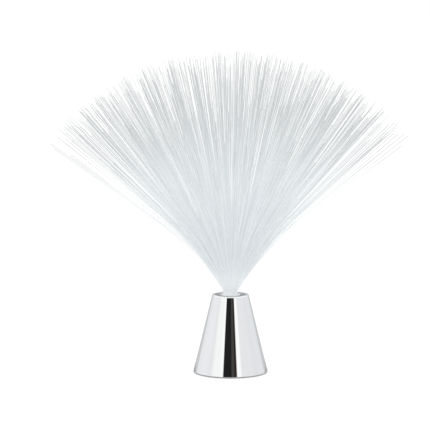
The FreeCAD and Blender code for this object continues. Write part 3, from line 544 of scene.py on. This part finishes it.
@dataclass(frozen=True)
class CellWrap:
    """Plain shrink wrap round a cell, with bare metal at both ends."""

    name: str = "cell_wrap"
    wrap: Color = rgb(0.06, 0.09, 0.16)
    band: Color = rgb(0.55, 0.56, 0.58)
    end_from: float = 20.5 * MM
    end_blend: float = 0.4 * MM
    roughness: Pair = (0.22, 0.4)

    def build(self) -> Material:
        """Makes the material.

        Returns:
            The material.
        """
        material, tree, shader = new_material(self.name)
        links = tree.links
        place = tree.nodes.new("ShaderNodeTexCoord")
        split = tree.nodes.new("ShaderNodeSeparateXYZ")
        links.new(place.outputs["Object"], split.inputs["Vector"])
        reach = tree.nodes.new("ShaderNodeMath")
        reach.operation = "ABSOLUTE"
        links.new(split.outputs["X"], reach.inputs[0])
        at_end = add_range(tree, reach.outputs[0], self.end_from, self.end_from + self.end_blend)
        tone = mix_color(tree, at_end, self.wrap, self.band)
        links.new(tone.outputs["Result"], shader.inputs["Base Color"])
        links.new(at_end, shader.inputs["Metallic"])
        wear = place_group(tree, Effect.WEAR, Amount=0.6)
        drive_roughness(tree, shader, wear.outputs["Mask"], self.roughness)
        return material


Finish = MouldedPlastic | SheetMetal | ClearResin | CellWrap


# Mesh helpers

def add_piece(
    name: str, mesh: bpy.types.Mesh, material: Material, body: str, smooth: bool = True
) -> bpy.types.Object:
    """Puts a finished mesh in the scene as a piece of the lamp.

    Args:
        name: the piece's name.
        mesh: its mesh, in place in the lamp's frame.
        material: its finish.
        body: the body that it moves with.
        smooth: whether its faces shade as one curved surface.

    Returns:
        The new object.
    """
    piece = bpy.data.objects.new(name, mesh)
    bpy.context.scene.collection.objects.link(piece)
    mesh.materials.append(material)
    for polygon in mesh.polygons:
        polygon.use_smooth = smooth
    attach(piece, body)
    log.info("%s: %d faces", name, len(mesh.polygons))
    return piece


def arc_points(middle: Pair, radius: float, start: float, end: float, steps: int) -> list[Pair]:
    """Lists the points of an arc in an outline, both ends included.

    Args:
        middle: the arc's centre.
        radius: the arc's radius.
        start: angle of the first point, in degrees.
        end: angle of the last point, in degrees.
        steps: segments between them.

    Returns:
        The points.
    """
    points = []
    for i in range(steps + 1):
        angle = math.radians(start + (end - start) * i / steps)
        points.append((middle[0] + radius * math.cos(angle), middle[1] + radius * math.sin(angle)))
    return points


def rounded_outline(corners: list[Point], steps: int, support: float) -> list[Pair]:
    """Lists a closed outline with its corners rounded.

    Args:
        corners: (across, up, radius) of each corner, in order.
        steps: segments in each rounding.
        support: distance from each rounding to the extra points that keep the flats flat.

    Returns:
        The outline's points.
    """
    outline = []
    for i, (across, up, radius) in enumerate(corners):
        corner = Vector((across, up))
        before = (Vector(corners[i - 1][:2]) - corner).normalized()
        after = (Vector(corners[(i + 1) % len(corners)][:2]) - corner).normalized()
        if radius == 0:
            outline.append(tuple(corner))
            continue
        half = before.angle(after) / 2
        reach = radius / math.tan(half)
        middle = corner + (before + after).normalized() * (radius / math.sin(half))
        first = corner + before * reach - middle
        last = corner + after * reach - middle
        start = math.degrees(math.atan2(first.y, first.x))
        turn = -math.degrees(first.angle_signed(last))
        outline.append(tuple(corner + before * (reach + support)))
        outline += arc_points(tuple(middle), radius, start, start + turn, steps)
        outline.append(tuple(corner + after * (reach + support)))
    return outline


def turned_mesh(name: str, outline: list[Pair], segments: int) -> bpy.types.Mesh:
    """Turns a closed outline round the Z axis into a ring-shaped mesh.

    Args:
        name: the mesh's name.
        outline: its (radius, height) points, in order.
        segments: steps round the axis.

    Returns:
        The mesh.
    """
    shape = bmesh.new()
    rings = []
    for i in range(segments):
        angle = 2 * math.pi * i / segments
        cos, sin = math.cos(angle), math.sin(angle)
        rings.append([shape.verts.new((r * cos, r * sin, z)) for r, z in outline])
    count = len(outline)
    for i in range(segments):
        ring, after = rings[i], rings[(i + 1) % segments]
        for j in range(count):
            k = (j + 1) % count
            shape.faces.new((ring[j], after[j], after[k], ring[k]))
    bmesh.ops.recalc_face_normals(shape, faces=shape.faces)
    mesh = bpy.data.meshes.new(name)
    shape.to_mesh(mesh)
    shape.free()
    return mesh


# The cone

@dataclass
class ChromeCone:
    """The plated cone: straight flanks, a softened foot edge and a rolled lip."""

    finish: MirrorChrome = field(default_factory=MirrorChrome)
    inner_finish: MouldedPlastic = MouldedPlastic(
        "inner_lacquer", rgb(0.93, 0.935, 0.94), rgb(0.88, 0.885, 0.895), (0.3, 0.42), bump=0.03, dust=0.0
    )
    base_radius: float = 37.75 * MM
    rim_radius: float = 18.43 * MM
    base_wall: float = 2.4 * MM
    rim_wall: float = 2.2 * MM
    edge_round: float = 0.9 * MM
    lip_rise: float = 0.7 * MM
    lip_round: float = 1.45 * MM
    lip_inner_round: float = 0.45 * MM
    round_steps: int = 18
    support: float = 0.12 * MM
    segments: int = 384
    inner_facing: float = 0.8

    def outline(self) -> list[Pair]:
        """Lists the wall's outline.

        Returns:
            Its (radius, height) points.
        """
        low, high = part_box("chrome_shell")
        top = high.z + self.lip_rise
        return rounded_outline(
            [
                (self.base_radius - self.base_wall, low.z, 0.0),
                (self.base_radius, low.z, self.edge_round),
                (self.rim_radius, top, self.lip_round),
                (self.rim_radius - self.rim_wall, top, self.lip_inner_round),
            ],
            self.round_steps,
            self.support,
        )

    def build(self) -> None:
        """Makes the cone in place of its plain solid, lacquered on the inside."""
        mesh = turned_mesh("chrome_cone", self.outline(), self.segments)
        piece = add_piece("chrome_cone", mesh, self.finish.build(), "base")
        mesh.materials.append(self.inner_finish.build())
        for polygon in mesh.polygons:
            outward = Vector((polygon.center.x, polygon.center.y, 0.0)).normalized()
            if polygon.normal.dot(outward) < -self.inner_facing:
                polygon.material_index = 1
        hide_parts("chrome_shell")


# The spray

@dataclass
class SleeveCollar:
    """The thin flared collar round the mouth of the sleeve."""

    finish: MouldedPlastic = MouldedPlastic(
        "collar_plastic", rgb(0.92, 0.925, 0.935), rgb(0.88, 0.885, 0.9), (0.35, 0.5), bump=0.04
    )
    inner_radius: float = 7.5 * MM
    root_radius: float = 8.5 * MM
    radius: float = 10.2 * MM
    rise: float = 1.0 * MM
    edge: float = 0.6 * MM
    depth: float = 2.6 * MM
    edge_round: float = 0.2 * MM
    round_steps: int = 5
    support: float = 0.03 * MM
    segments: int = 128

    def build(self) -> None:
        """Makes the collar on top of the sleeve."""
        _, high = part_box("fiber_sleeve")
        top = high.z + self.rise
        outline = rounded_outline(
            [
                (self.inner_radius, top - self.depth, 0.0),
                (self.root_radius, top - self.depth, self.edge_round),
                (self.radius, top - self.edge, self.edge_round),
                (self.radius, top, self.edge_round),
                (self.inner_radius, top, self.edge_round),
            ],
            self.round_steps,
            self.support,
        )
        mesh = turned_mesh("sleeve_collar", outline, self.segments)
        add_piece("sleeve_collar", mesh, self.finish.build(), "fiber_bundle")


@dataclass
class FiberSpray:
    """The spray of fibres: crowded in the sleeve, bent at its mouth and swept outwards."""

    count: int = 1300
    diameter: float = 0.36 * MM
    sides: int = 5
    length: float = 0.2475
    length_spread: float = 0.016
    short_share: float = 0.05
    edge_shorter: float = 0.007
    spray_angle: float = 44.0
    stray_angle: float = 50.5
    stray_share: float = 0.06
    stray_diameter: float = 0.46 * MM
    bundle_gap: float = 0.6 * MM
    neck_lean: float = 0.67
    tip_lean: float = 1.08
    neck_bend_radius: float = 15.0 * MM
    sweep_length: float = 0.092
    tuft_count: int = 150
    tuft_pull: float = 0.58
    sideways: float = 1.5
    tuft_scatter: Pair = (1.5, 3.0)
    pull_spread: Pair = (0.5, 1.3)
    lean_scatter: float = 0.7
    side_lean: float = 1.3
    unevenness: float = 2.2
    cut_short: Pair = (0.01, 0.035)
    turn_rate: float = 3.0
    bend_steps: int = 4
    sweep_steps: int = 6
    straight_steps: int = 3
    core_share: float = 0.3
    middle_share: float = 0.64
    # Painted shade: the strays get a weaker painted glow, so they read darker than the crowd.
    stray_painted_glow: Color = rgb(0.12, 0.128, 0.132)
    seed: int = 7

    def tuft_centres(self) -> list[Pair]:
        """Lists the lean and azimuth of the tufts that the fibres gather into, in degrees.

        Returns:
            A (lean, azimuth) pair for each tuft.
        """
        cap = 1 - math.cos(math.radians(self.spray_angle + 1))
        dice = random.Random(self.seed + 1)
        lean_by, turn_by = self.tuft_scatter
        centres = []
        for i in range(self.tuft_count):
            lean = math.degrees(math.acos(1 - cap * (i + 0.5) / self.tuft_count))
            lean += dice.uniform(-lean_by, lean_by)
            centres.append((abs(lean), GOLDEN_ANGLE * i + dice.uniform(-turn_by, turn_by)))
        return centres

    def tip_direction(self, lean: float, azimuth: float) -> Vector:
        """Finds the unit vector from the neck for a lean and an azimuth.

        Args:
            lean: angle from the axis, in degrees.
            azimuth: angle round the axis, in degrees.

        Returns:
            The unit vector.
        """
        lean, azimuth = math.radians(lean), math.radians(azimuth)
        side = math.sin(lean)
        return Vector((side * math.cos(azimuth), side * math.sin(azimuth), math.cos(lean)))

    def gathered(self, lean: float, azimuth: float, tufts: list[Vector], pull: float) -> Pair:
        """Moves a direction part of the way to its nearest tuft.

        Args:
            lean: the direction's lean, in degrees.
            azimuth: its azimuth, in degrees.
            tufts: unit vectors of the tufts.
            pull: share of the way to go.

        Returns:
            The new lean and azimuth, in degrees.
        """
        direction = self.tip_direction(lean, azimuth)
        nearest = max(tufts, key=direction.dot)
        moved = direction.lerp(nearest, pull).normalized()
        return math.degrees(math.acos(min(1.0, moved.z))), math.degrees(math.atan2(moved.y, moved.x))

    def path(
        self, radius: float, start: float, lean: float, azimuth: float, length: float, bow: float
    ) -> list[Vector]:
        """Points along one fibre.

        Args:
            radius: distance from the axis in the sleeve.
            start: azimuth in the sleeve, in degrees.
            lean: lean of the tip seen from the neck, in degrees.
            azimuth: azimuth of the tip, in degrees.
            length: free length above the sleeve.
            bow: sideways drift of the tip, in degrees.

        Returns:
            The points from the sleeve to the tip.
        """
        low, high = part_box("fiber_sleeve")
        mouth = high.z
        turn = (azimuth - start + 180) % 360 - 180
        neck = math.radians(lean * self.neck_lean)
        tip = math.radians(lean * self.tip_lean)
        bend_length = self.neck_bend_radius * neck
        rest = length - bend_length - self.sweep_length
        steps = [(bend_length / self.bend_steps, neck / self.bend_steps)] * self.bend_steps
        steps += [(self.sweep_length / self.sweep_steps, (tip - neck) / self.sweep_steps)] * self.sweep_steps
        steps += [(rest / self.straight_steps, 0.0)] * self.straight_steps
        spot = math.radians(start)
        place = Vector((radius * math.cos(spot), radius * math.sin(spot), mouth))
        points = [Vector((place.x, place.y, (low.z + high.z) / 2)), place.copy()]
        angle = 0.0
        travelled = 0.0
        for distance, bend in steps:
            angle += bend / 2
            travelled += distance
            share = travelled / length
            heading = math.radians(start + turn * min(1.0, self.turn_rate * share) + bow * share * share)
            step = Vector((
                math.sin(angle) * math.cos(heading),
                math.sin(angle) * math.sin(heading),
                math.cos(angle),
            ))
            place = place + step * distance
            angle += bend / 2
            points.append(place.copy())
        return points

    def add_tube(self, points: list[Vector], radius: float, verts: list, faces: list) -> None:
        """Adds one closed tube along points to lists of vertices and faces.

        Args:
            points: the tube's middle line.
            radius: its radius.
            verts: list that gets its vertices.
            faces: list that gets its faces, as indices into verts.
        """
        first = len(verts)
        side = Vector((0.0, 1.0, 0.0)) if abs(points[-1].x) > abs(points[-1].y) else Vector((1.0, 0.0, 0.0))
        for i, point in enumerate(points):
            before = points[max(i - 1, 0)]
            after = points[min(i + 1, len(points) - 1)]
            along = (after - before).normalized()
            across = (side - along * side.dot(along)).normalized()
            other = along.cross(across)
            for k in range(self.sides):
                turn = 2 * math.pi * k / self.sides
                verts.append(point + (across * math.cos(turn) + other * math.sin(turn)) * radius)
        for i in range(len(points) - 1):
            for k in range(self.sides):
                a = first + i * self.sides + k
                b = first + i * self.sides + (k + 1) % self.sides
                faces.append((a, b, b + self.sides, a + self.sides))
        last = first + (len(points) - 1) * self.sides
        faces.append(tuple(first + k for k in reversed(range(self.sides))))
        faces.append(tuple(last + k for k in range(self.sides)))

    def build(self) -> None:
        """Makes the spray in four rings from the axis outwards, in place of the plain strands."""
        dice = random.Random(self.seed)
        low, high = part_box("fiber_end_disc")
        bundle = (high.x - low.x) / 2 - self.bundle_gap
        cap = 1 - math.cos(math.radians(self.spray_angle))
        tufts = [self.tip_direction(*centre) for centre in self.tuft_centres()]
        rings = ("fiber_spray_core", "fiber_spray_middle", "fiber_spray_outer", "fiber_spray_strays")
        limits = (self.core_share, self.middle_share, 1 - self.stray_share, 1.0)
        parts = {name: ([], [], []) for name in rings}
        for i in range(self.count):
            share = (i + 0.5) / self.count
            azimuth = GOLDEN_ANGLE * i
            lean = math.degrees(math.acos(1 - cap * min(1.0, share / (1 - self.stray_share))))
            stray = max(0.0, share - 1 + self.stray_share) / self.stray_share
            lean += stray * (self.stray_angle - self.spray_angle) + dice.gauss(0, self.lean_scatter)
            pull = self.tuft_pull * dice.uniform(*self.pull_spread) * (1 - stray)
            lean -= self.side_lean * math.cos(math.radians(azimuth))
            tip_lean, tip_azimuth = self.gathered(abs(lean), azimuth, tufts, pull)
            shorter = dice.random() ** self.unevenness * self.length_spread
            if dice.random() < self.short_share:
                shorter += dice.uniform(*self.cut_short)
            length = self.length - shorter - self.edge_shorter * (tip_lean / self.spray_angle) ** 2
            bow = dice.gauss(0, self.sideways)
            points = self.path(bundle * math.sqrt(share), azimuth, tip_lean, tip_azimuth, length, bow)
            name = next(ring for ring, limit in zip(rings, limits) if share <= limit)
            verts, faces, tones = parts[name]
            before = len(verts)
            self.add_tube(points, (self.stray_diameter if stray else self.diameter) / 2, verts, faces)
            tones.extend([dice.random()] * (len(verts) - before))
        # Both fibre materials carry painted light; the strays' one has a weaker painted glow, a painted
        # shade that makes them read darker.
        finish = DrawnFiber("clear_fiber").build()
        lone_finish = DrawnFiber("lone_clear_fiber", alone_painted_glow=self.stray_painted_glow).build()
        pieces = []
        for name, (verts, faces, tones) in parts.items():
            mesh = bpy.data.meshes.new(name)
            mesh.from_pydata(verts, [], faces)
            mesh.attributes.new("strand_tone", "FLOAT", "POINT").data.foreach_set("value", tones)
            material = lone_finish if name == rings[-1] else finish
            pieces.append(add_piece(name, mesh, material, "fiber_bundle"))
        for piece in pieces:
            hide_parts("optical_fibers")


# Small parts

@dataclass
class SmallParts:
    """Finishes for the solids that keep their shape, and the fine detail that rides on them."""

    ridge_height: float = 0.22 * MM
    ridge_sink: float = 0.1 * MM
    knob_ridge_step: float = 0.85 * MM
    knob_ridge_half: Pair = (0.2 * MM, 1.0 * MM)
    door_ridge_count: int = 4
    door_ridge_inset: float = 3.4
    door_ridge_step: float = 1.1
    door_ridge_half: Pair = (7.0 * MM, 0.25 * MM)
    edge_share: float = 0.35
    mark_size: float = 2.2 * MM
    mark_line: float = 0.4 * MM
    mark_gap: float = 3.1 * MM
    mark_reach: float = 8.6 * MM
    ring_round: float = 0.19 * MM
    ring_segments: int = 40
    plastic: Material | None = field(default=None, init=False)
    knob_plastic: Material | None = field(default=None, init=False)

    def finishes(self) -> dict[str, Finish]:
        """Lists each carried-over node with its finish.

        Returns:
            The finishes by node.
        """
        base = MouldedPlastic(
            "base_plastic", rgb(0.045, 0.046, 0.05), rgb(0.03, 0.031, 0.034), (0.42, 0.6), bump=0.25
        )
        contact = SheetMetal("contact_metal", rgb(0.78, 0.76, 0.7), rgb(0.66, 0.64, 0.58))
        steel = SheetMetal("screw_steel", rgb(0.6, 0.6, 0.62), rgb(0.48, 0.48, 0.5), (0.25, 0.45))
        rubber = MouldedPlastic("foot_rubber", rgb(0.03, 0.03, 0.032), grey(0.05), (0.7, 0.9))
        red = MouldedPlastic("red_insulation", rgb(0.45, 0.02, 0.02), rgb(0.36, 0.015, 0.015), (0.3, 0.4))
        return {
            "bottom_plate": base,
            "battery_door": base,
            "switch_knob": MouldedPlastic(
                "knob_plastic", rgb(0.02, 0.02, 0.022), rgb(0.012, 0.012, 0.013), wear=0.6
            ),
            "rubber_feet": rubber,
            "door_foam_pad": MouldedPlastic("door_foam", grey(0.05), grey(0.1), (0.85, 0.95), 1500.0, 0.8),
            "door_grip_pad": rubber,
            "battery_cells": CellWrap(),
            "positive_contact": contact,
            "negative_contact": contact,
            "link_contacts": contact,
            "switch_terminals": contact,
            "led_leads": contact,
            "door_hinge_pin": steel,
            "plate_screws": steel,
            "board_screws": steel,
            "switch_housing": SheetMetal("switch_metal", grey(0.7), rgb(0.6, 0.6, 0.61)),
            "led_board": MouldedPlastic(
                "board_laminate", rgb(0.02, 0.14, 0.05), rgb(0.015, 0.1, 0.04), (0.2, 0.35)
            ),
            "rgb_led": ClearResin("led_lens"),
            "fiber_end_disc": ClearResin("fiber_resin"),
            "driver_chip": MouldedPlastic("chip_resin", grey(0.015), grey(0.03), (0.15, 0.3)),
            "chip_resistors": MouldedPlastic("resistor_ceramic", rgb(0.02, 0.02, 0.022), grey(0.04)),
            "light_socket": MouldedPlastic("socket_plastic", grey(0.8), grey(0.74), (0.35, 0.5)),
            "fiber_sleeve": MouldedPlastic(
                "sleeve_plastic", rgb(0.86, 0.87, 0.88), rgb(0.8, 0.81, 0.82), (0.2, 0.32), bump=0.04
            ),
            "battery_wire_red": red,
            "switch_wire_red": red,
            "battery_wire_black": MouldedPlastic("black_insulation", grey(0.02), grey(0.012), (0.3, 0.4)),
        }

    def dress_nodes(self) -> None:
        """Gives every carried-over node its finish."""
        made: dict[str, Material] = {}
        for node, finish in self.finishes().items():
            if finish.name not in made:
                made[finish.name] = finish.build()
            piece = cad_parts[node]
            piece.data.materials.clear()
            piece.data.materials.append(made[finish.name])
            log.info("%s: finished as %s", node, finish.name)
        self.plastic = made["base_plastic"]
        self.knob_plastic = made["knob_plastic"]

    def bar(self, name: str, low: Point, high: Point, material: Material, body: str) -> None:
        """Adds a small bar with rounded edges between two corners.

        Args:
            name: the piece's name.
            low: its lowest corner.
            high: its highest corner.
            material: its material.
            body: the body that it rides on.
        """
        shape = bmesh.new()
        bmesh.ops.create_cube(shape, size=1.0)
        size = Vector(high) - Vector(low)
        middle = (Vector(high) + Vector(low)) / 2
        for vert in shape.verts:
            vert.co = Vector((vert.co.x * size.x, vert.co.y * size.y, vert.co.z * size.z)) + middle
        bmesh.ops.bevel(
            shape,
            geom=list(shape.edges),
            offset=min(size) * self.edge_share,
            segments=3,
            profile=0.5,
            affect="EDGES",
        )
        mesh = bpy.data.meshes.new(name)
        shape.to_mesh(mesh)
        shape.free()
        add_piece(name, mesh, material, body)

    def add_ridges(self) -> None:
        """Adds grip ridges across the knob and along the front edge of the battery door."""
        low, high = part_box("switch_knob")
        middle_x = (low.x + high.x) / 2
        middle_y = (low.y + high.y) / 2
        half_x, half_y = self.knob_ridge_half
        for i in (-1, 0, 1):
            x = middle_x + i * self.knob_ridge_step
            self.bar(
                f"knob_ridge_{i + 2}",
                (x - half_x, middle_y - half_y, low.z - self.ridge_height),
                (x + half_x, middle_y + half_y, low.z + self.ridge_sink),
                self.knob_plastic, "switch_knob",
            )
        door_low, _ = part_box("battery_door")
        half_x, half_y = self.door_ridge_half
        for i in range(self.door_ridge_count):
            y = door_low.y + (self.door_ridge_inset + self.door_ridge_step * i) * MM
            self.bar(
                f"door_ridge_{i + 1}",
                (-half_x, y - half_y, door_low.z - self.ridge_height),
                (half_x, y + half_y, door_low.z + self.ridge_sink),
                self.plastic, "battery_door",
            )

    def add_marks(self) -> None:
        """Adds a raised bar and ring beside the knob, for on and off."""
        low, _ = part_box("bottom_plate")
        _, knob_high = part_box("switch_knob")
        y = knob_high.y + self.mark_gap
        half = self.mark_size / 2
        line = self.mark_line / 2
        z_low, z_high = low.z - self.ridge_height, low.z + self.ridge_sink
        self.bar(
            "on_mark", (self.mark_reach - line, y - half, z_low), (self.mark_reach + line, y + half, z_high),
            self.plastic, "base",
        )
        ring = arc_points((half - line, (z_low + z_high) / 2), self.ring_round, 0, 330, 11)
        mesh = turned_mesh("off_mark", ring, self.ring_segments)
        mesh.transform(Matrix.Translation((-self.mark_reach, y, 0.0)))
        add_piece("off_mark", mesh, self.plastic, "base")

    def build(self) -> None:
        """Dresses the nodes and adds the fine detail."""
        self.dress_nodes()
        self.add_ridges()
        self.add_marks()


# Studio

@dataclass(frozen=True)
class Zone:
    """One tone of the room that the chrome mirrors, at an azimuth from the front towards +X."""

    azimuth: float
    tone: Color


@dataclass
class Studio:
    """White surroundings, a mirrored room of soft zones, soft light, floor and camera."""

    floor_radius: float = 30.0
    camera_distance: float = 2.95
    camera_height: float = 0.573
    camera_side: float = -0.0157
    camera_pitch: float = 7.951
    lens: float = 247.0
    surround: float = 0.8
    ceiling_from: float = 0.34
    ceiling_full: float = 0.5
    floor_segments: int = 96
    floor_tone: Color = grey(0.86)
    floor_glow: Color = grey(0.34)
    # Painted reflection: the chrome sees the floor with a darker tone and glow, and with a painted contact
    # shadow near the lamp.
    mirrored_glow: Color = grey(0.05)
    mirrored_contact_shade: Color = rgb(0.42, 0.425, 0.43)
    mirrored_far: Color = rgb(0.62, 0.63, 0.64)
    mirrored_span: Pair = (0.07, 0.16)
    light_aim: Point = (0.0, 0.0, 0.2)
    room: tuple[Zone, ...] = (
        Zone(-180.0, rgb(0.6, 0.61, 0.62)),
        Zone(-160.0, rgb(0.59, 0.6, 0.61)),
        Zone(-140.0, rgb(0.77, 0.79, 0.795)),
        Zone(-108.0, rgb(0.84, 0.85, 0.87)),
        Zone(-84.0, rgb(0.84, 0.85, 0.87)),
        Zone(-68.0, rgb(0.8, 0.81, 0.82)),
        Zone(-56.0, rgb(0.94, 0.95, 0.94)),
        Zone(-36.0, rgb(0.94, 0.95, 0.94)),
        Zone(-30.0, grey(1.0)),
        Zone(-25.0, grey(1.0)),
        Zone(-22.5, rgb(0.015, 0.015, 0.017)),
        Zone(2.0, grey(0.015)),
        Zone(5.0, rgb(0.06, 0.058, 0.057)),
        Zone(12.0, rgb(0.05, 0.047, 0.045)),
        Zone(15.0, rgb(0.02, 0.014, 0.011)),
        Zone(19.5, rgb(0.03, 0.018, 0.012)),
        Zone(22.0, grey(1.0)),
        Zone(33.0, grey(1.0)),
        Zone(38.0, rgb(0.81, 0.815, 0.82)),
        Zone(70.0, rgb(0.8, 0.81, 0.82)),
        Zone(90.0, rgb(0.765, 0.78, 0.8)),
        Zone(110.0, rgb(0.79, 0.8, 0.82)),
        Zone(134.0, rgb(0.76, 0.785, 0.79)),
        Zone(150.0, rgb(0.62, 0.63, 0.64)),
        Zone(180.0, rgb(0.6, 0.61, 0.62)),
    )

    def mirrored_room(self, tree: Tree) -> Socket:
        """Adds the nodes that colour the room by azimuth.

        Args:
            tree: the world's node tree.

        Returns:
            The output that holds the colour.
        """
        place = tree.nodes.new("ShaderNodeTexCoord")
        split = tree.nodes.new("ShaderNodeSeparateXYZ")
        tree.links.new(place.outputs["Generated"], split.inputs["Vector"])
        front = tree.nodes.new("ShaderNodeMath")
        front.operation = "MULTIPLY"
        front.inputs[1].default_value = -1.0
        tree.links.new(split.outputs["Y"], front.inputs[0])
        azimuth = join_values(tree, "ARCTAN2", split.outputs["X"], front.outputs[0])
        share = tree.nodes.new("ShaderNodeMapRange")
        share.inputs["From Min"].default_value = -math.pi
        share.inputs["From Max"].default_value = math.pi
        tree.links.new(azimuth, share.inputs["Value"])
        node = tree.nodes.new("ShaderNodeValToRGB")
        ramp = node.color_ramp
        for i, zone in enumerate(self.room):
            position = (zone.azimuth + 180.0) / 360.0
            stop = ramp.elements[i] if i < 2 else ramp.elements.new(position)
            stop.position = position
            stop.color = zone.tone
        tree.links.new(share.outputs["Result"], node.inputs["Fac"])
        ceiling = add_range(tree, split.outputs["Z"], self.ceiling_from, self.ceiling_full)
        whole = mix_color(tree, ceiling, self.room[0].tone, WHITE)
        tree.links.new(node.outputs["Color"], whole.inputs["A"])
        return whole.outputs["Result"]

    def build_world(self) -> None:
        """Sets white behind the lamp, a plain glow for lighting it and the room for its mirror."""
        world = bpy.data.worlds.new("studio_white")
        bpy.context.scene.world = world
        world.use_nodes = True
        tree = world.node_tree
        path = tree.nodes.new("ShaderNodeLightPath")
        mirrored = mix_color(tree, path.outputs["Is Glossy Ray"], grey(self.surround), WHITE)
        tree.links.new(self.mirrored_room(tree), mirrored.inputs["B"])
        seen = mix_color(tree, path.outputs["Is Camera Ray"], WHITE, WHITE)
        tree.links.new(mirrored.outputs["Result"], seen.inputs["A"])
        tree.links.new(seen.outputs["Result"], tree.nodes["Background"].inputs["Color"])

    def build_floor(self) -> None:
        """Lays a plain pale floor that runs out of sight and is clear from below; the chrome mirrors it as a
        painted darker floor, with a painted contact shadow near the lamp.
        """
        shape = bmesh.new()
        bmesh.ops.create_circle(shape, cap_ends=True, segments=self.floor_segments, radius=self.floor_radius)
        mesh = bpy.data.meshes.new("pale_floor")
        shape.to_mesh(mesh)
        shape.free()
        material, tree, shader = new_material("pale_floor")
        path = tree.nodes.new("ShaderNodeLightPath")
        place = tree.nodes.new("ShaderNodeTexCoord")
        reach = tree.nodes.new("ShaderNodeVectorMath")
        reach.operation = "LENGTH"
        tree.links.new(place.outputs["Object"], reach.inputs[0])
        # Painted contact shadow: the floor as seen in the chrome darkens towards the lamp.
        away = add_range(tree, reach.outputs["Value"], *self.mirrored_span)
        mirrored = mix_color(tree, away, self.mirrored_contact_shade, self.mirrored_far)
        glossy = path.outputs["Is Glossy Ray"]
        # Glossy rays get the painted reflection tone and glow; other rays get the plain floor.
        paint = mix_color(tree, glossy, self.floor_tone, self.mirrored_far)
        tree.links.new(mirrored.outputs["Result"], paint.inputs["B"])
        glow = mix_color(tree, glossy, self.floor_glow, self.mirrored_glow)
        tree.links.new(paint.outputs["Result"], shader.inputs["Base Color"])
        tree.links.new(glow.outputs["Result"], shader.inputs["Emission Color"])
        geometry = tree.nodes.new("ShaderNodeNewGeometry")
        clear = tree.nodes.new("ShaderNodeBsdfTransparent")
        sides = tree.nodes.new("ShaderNodeMixShader")
        tree.links.new(geometry.outputs["Backfacing"], sides.inputs["Fac"])
        tree.links.new(shader.outputs["BSDF"], sides.inputs[1])
        tree.links.new(clear.outputs["BSDF"], sides.inputs[2])
        tree.links.new(sides.outputs["Shader"], tree.nodes["Material Output"].inputs["Surface"])
        shader.inputs["Roughness"].default_value = 0.6
        shader.inputs["Specular IOR Level"].default_value = 0.0
        shader.inputs["Emission Strength"].default_value = 1.0
        mesh.materials.append(material)
        floor = bpy.data.objects.new("pale_floor", mesh)
        bpy.context.scene.collection.objects.link(floor)

    def build_light(self, name: str, place: Point, size: float, power: float) -> None:
        """Hangs a large soft light aimed at the spray, left out of reflections.

        Args:
            name: the light's name.
            place: where it hangs.
            size: its width.
            power: its power, in watts.
        """
        light = bpy.data.lights.new(name, "AREA")
        light.shape = "DISK"
        light.size = size
        light.energy = power
        lamp = bpy.data.objects.new(name, light)
        bpy.context.scene.collection.objects.link(lamp)
        lamp.location = place
        aim = Vector(self.light_aim) - Vector(place)
        lamp.rotation_euler = aim.to_track_quat("-Z", "Y").to_euler()
        lamp.visible_glossy = False

    def build_camera(self) -> None:
        """Sets up the photograph's view."""
        camera = bpy.data.cameras.new("photo_camera")
        camera.lens = self.lens
        camera.sensor_width = 36.0
        camera.clip_end = 100.0
        stand = bpy.data.objects.new("photo_camera", camera)
        bpy.context.scene.collection.objects.link(stand)
        stand.location = (self.camera_side, -self.camera_distance, self.camera_height)
        stand.rotation_euler = (math.radians(90.0 - self.camera_pitch), 0.0, 0.0)
        bpy.context.scene.camera = stand

    def build(self) -> None:
        """Sets up the whole studio."""
        self.build_world()
        self.build_floor()
        self.build_light("soft_key", (-1.6, -1.8, 2.4), 1.6, 12.0)
        self.build_light("soft_fill", (1.8, -1.2, 1.6), 1.6, 6.0)
        self.build_camera()
        bpy.context.scene.view_settings.view_transform = "Standard"
        bpy.context.scene.view_settings.look = "None"
        log.info("studio ready")


def main() -> None:
    """Builds the studio and then the lamp, piece by piece."""
    logging.basicConfig(level=logging.INFO, format="%(name)s %(message)s")
    Studio().build()
    ChromeCone().build()
    SleeveCollar().build()
    FiberSpray().build()
    SmallParts().build()


if __name__ == "__main__":
    main()
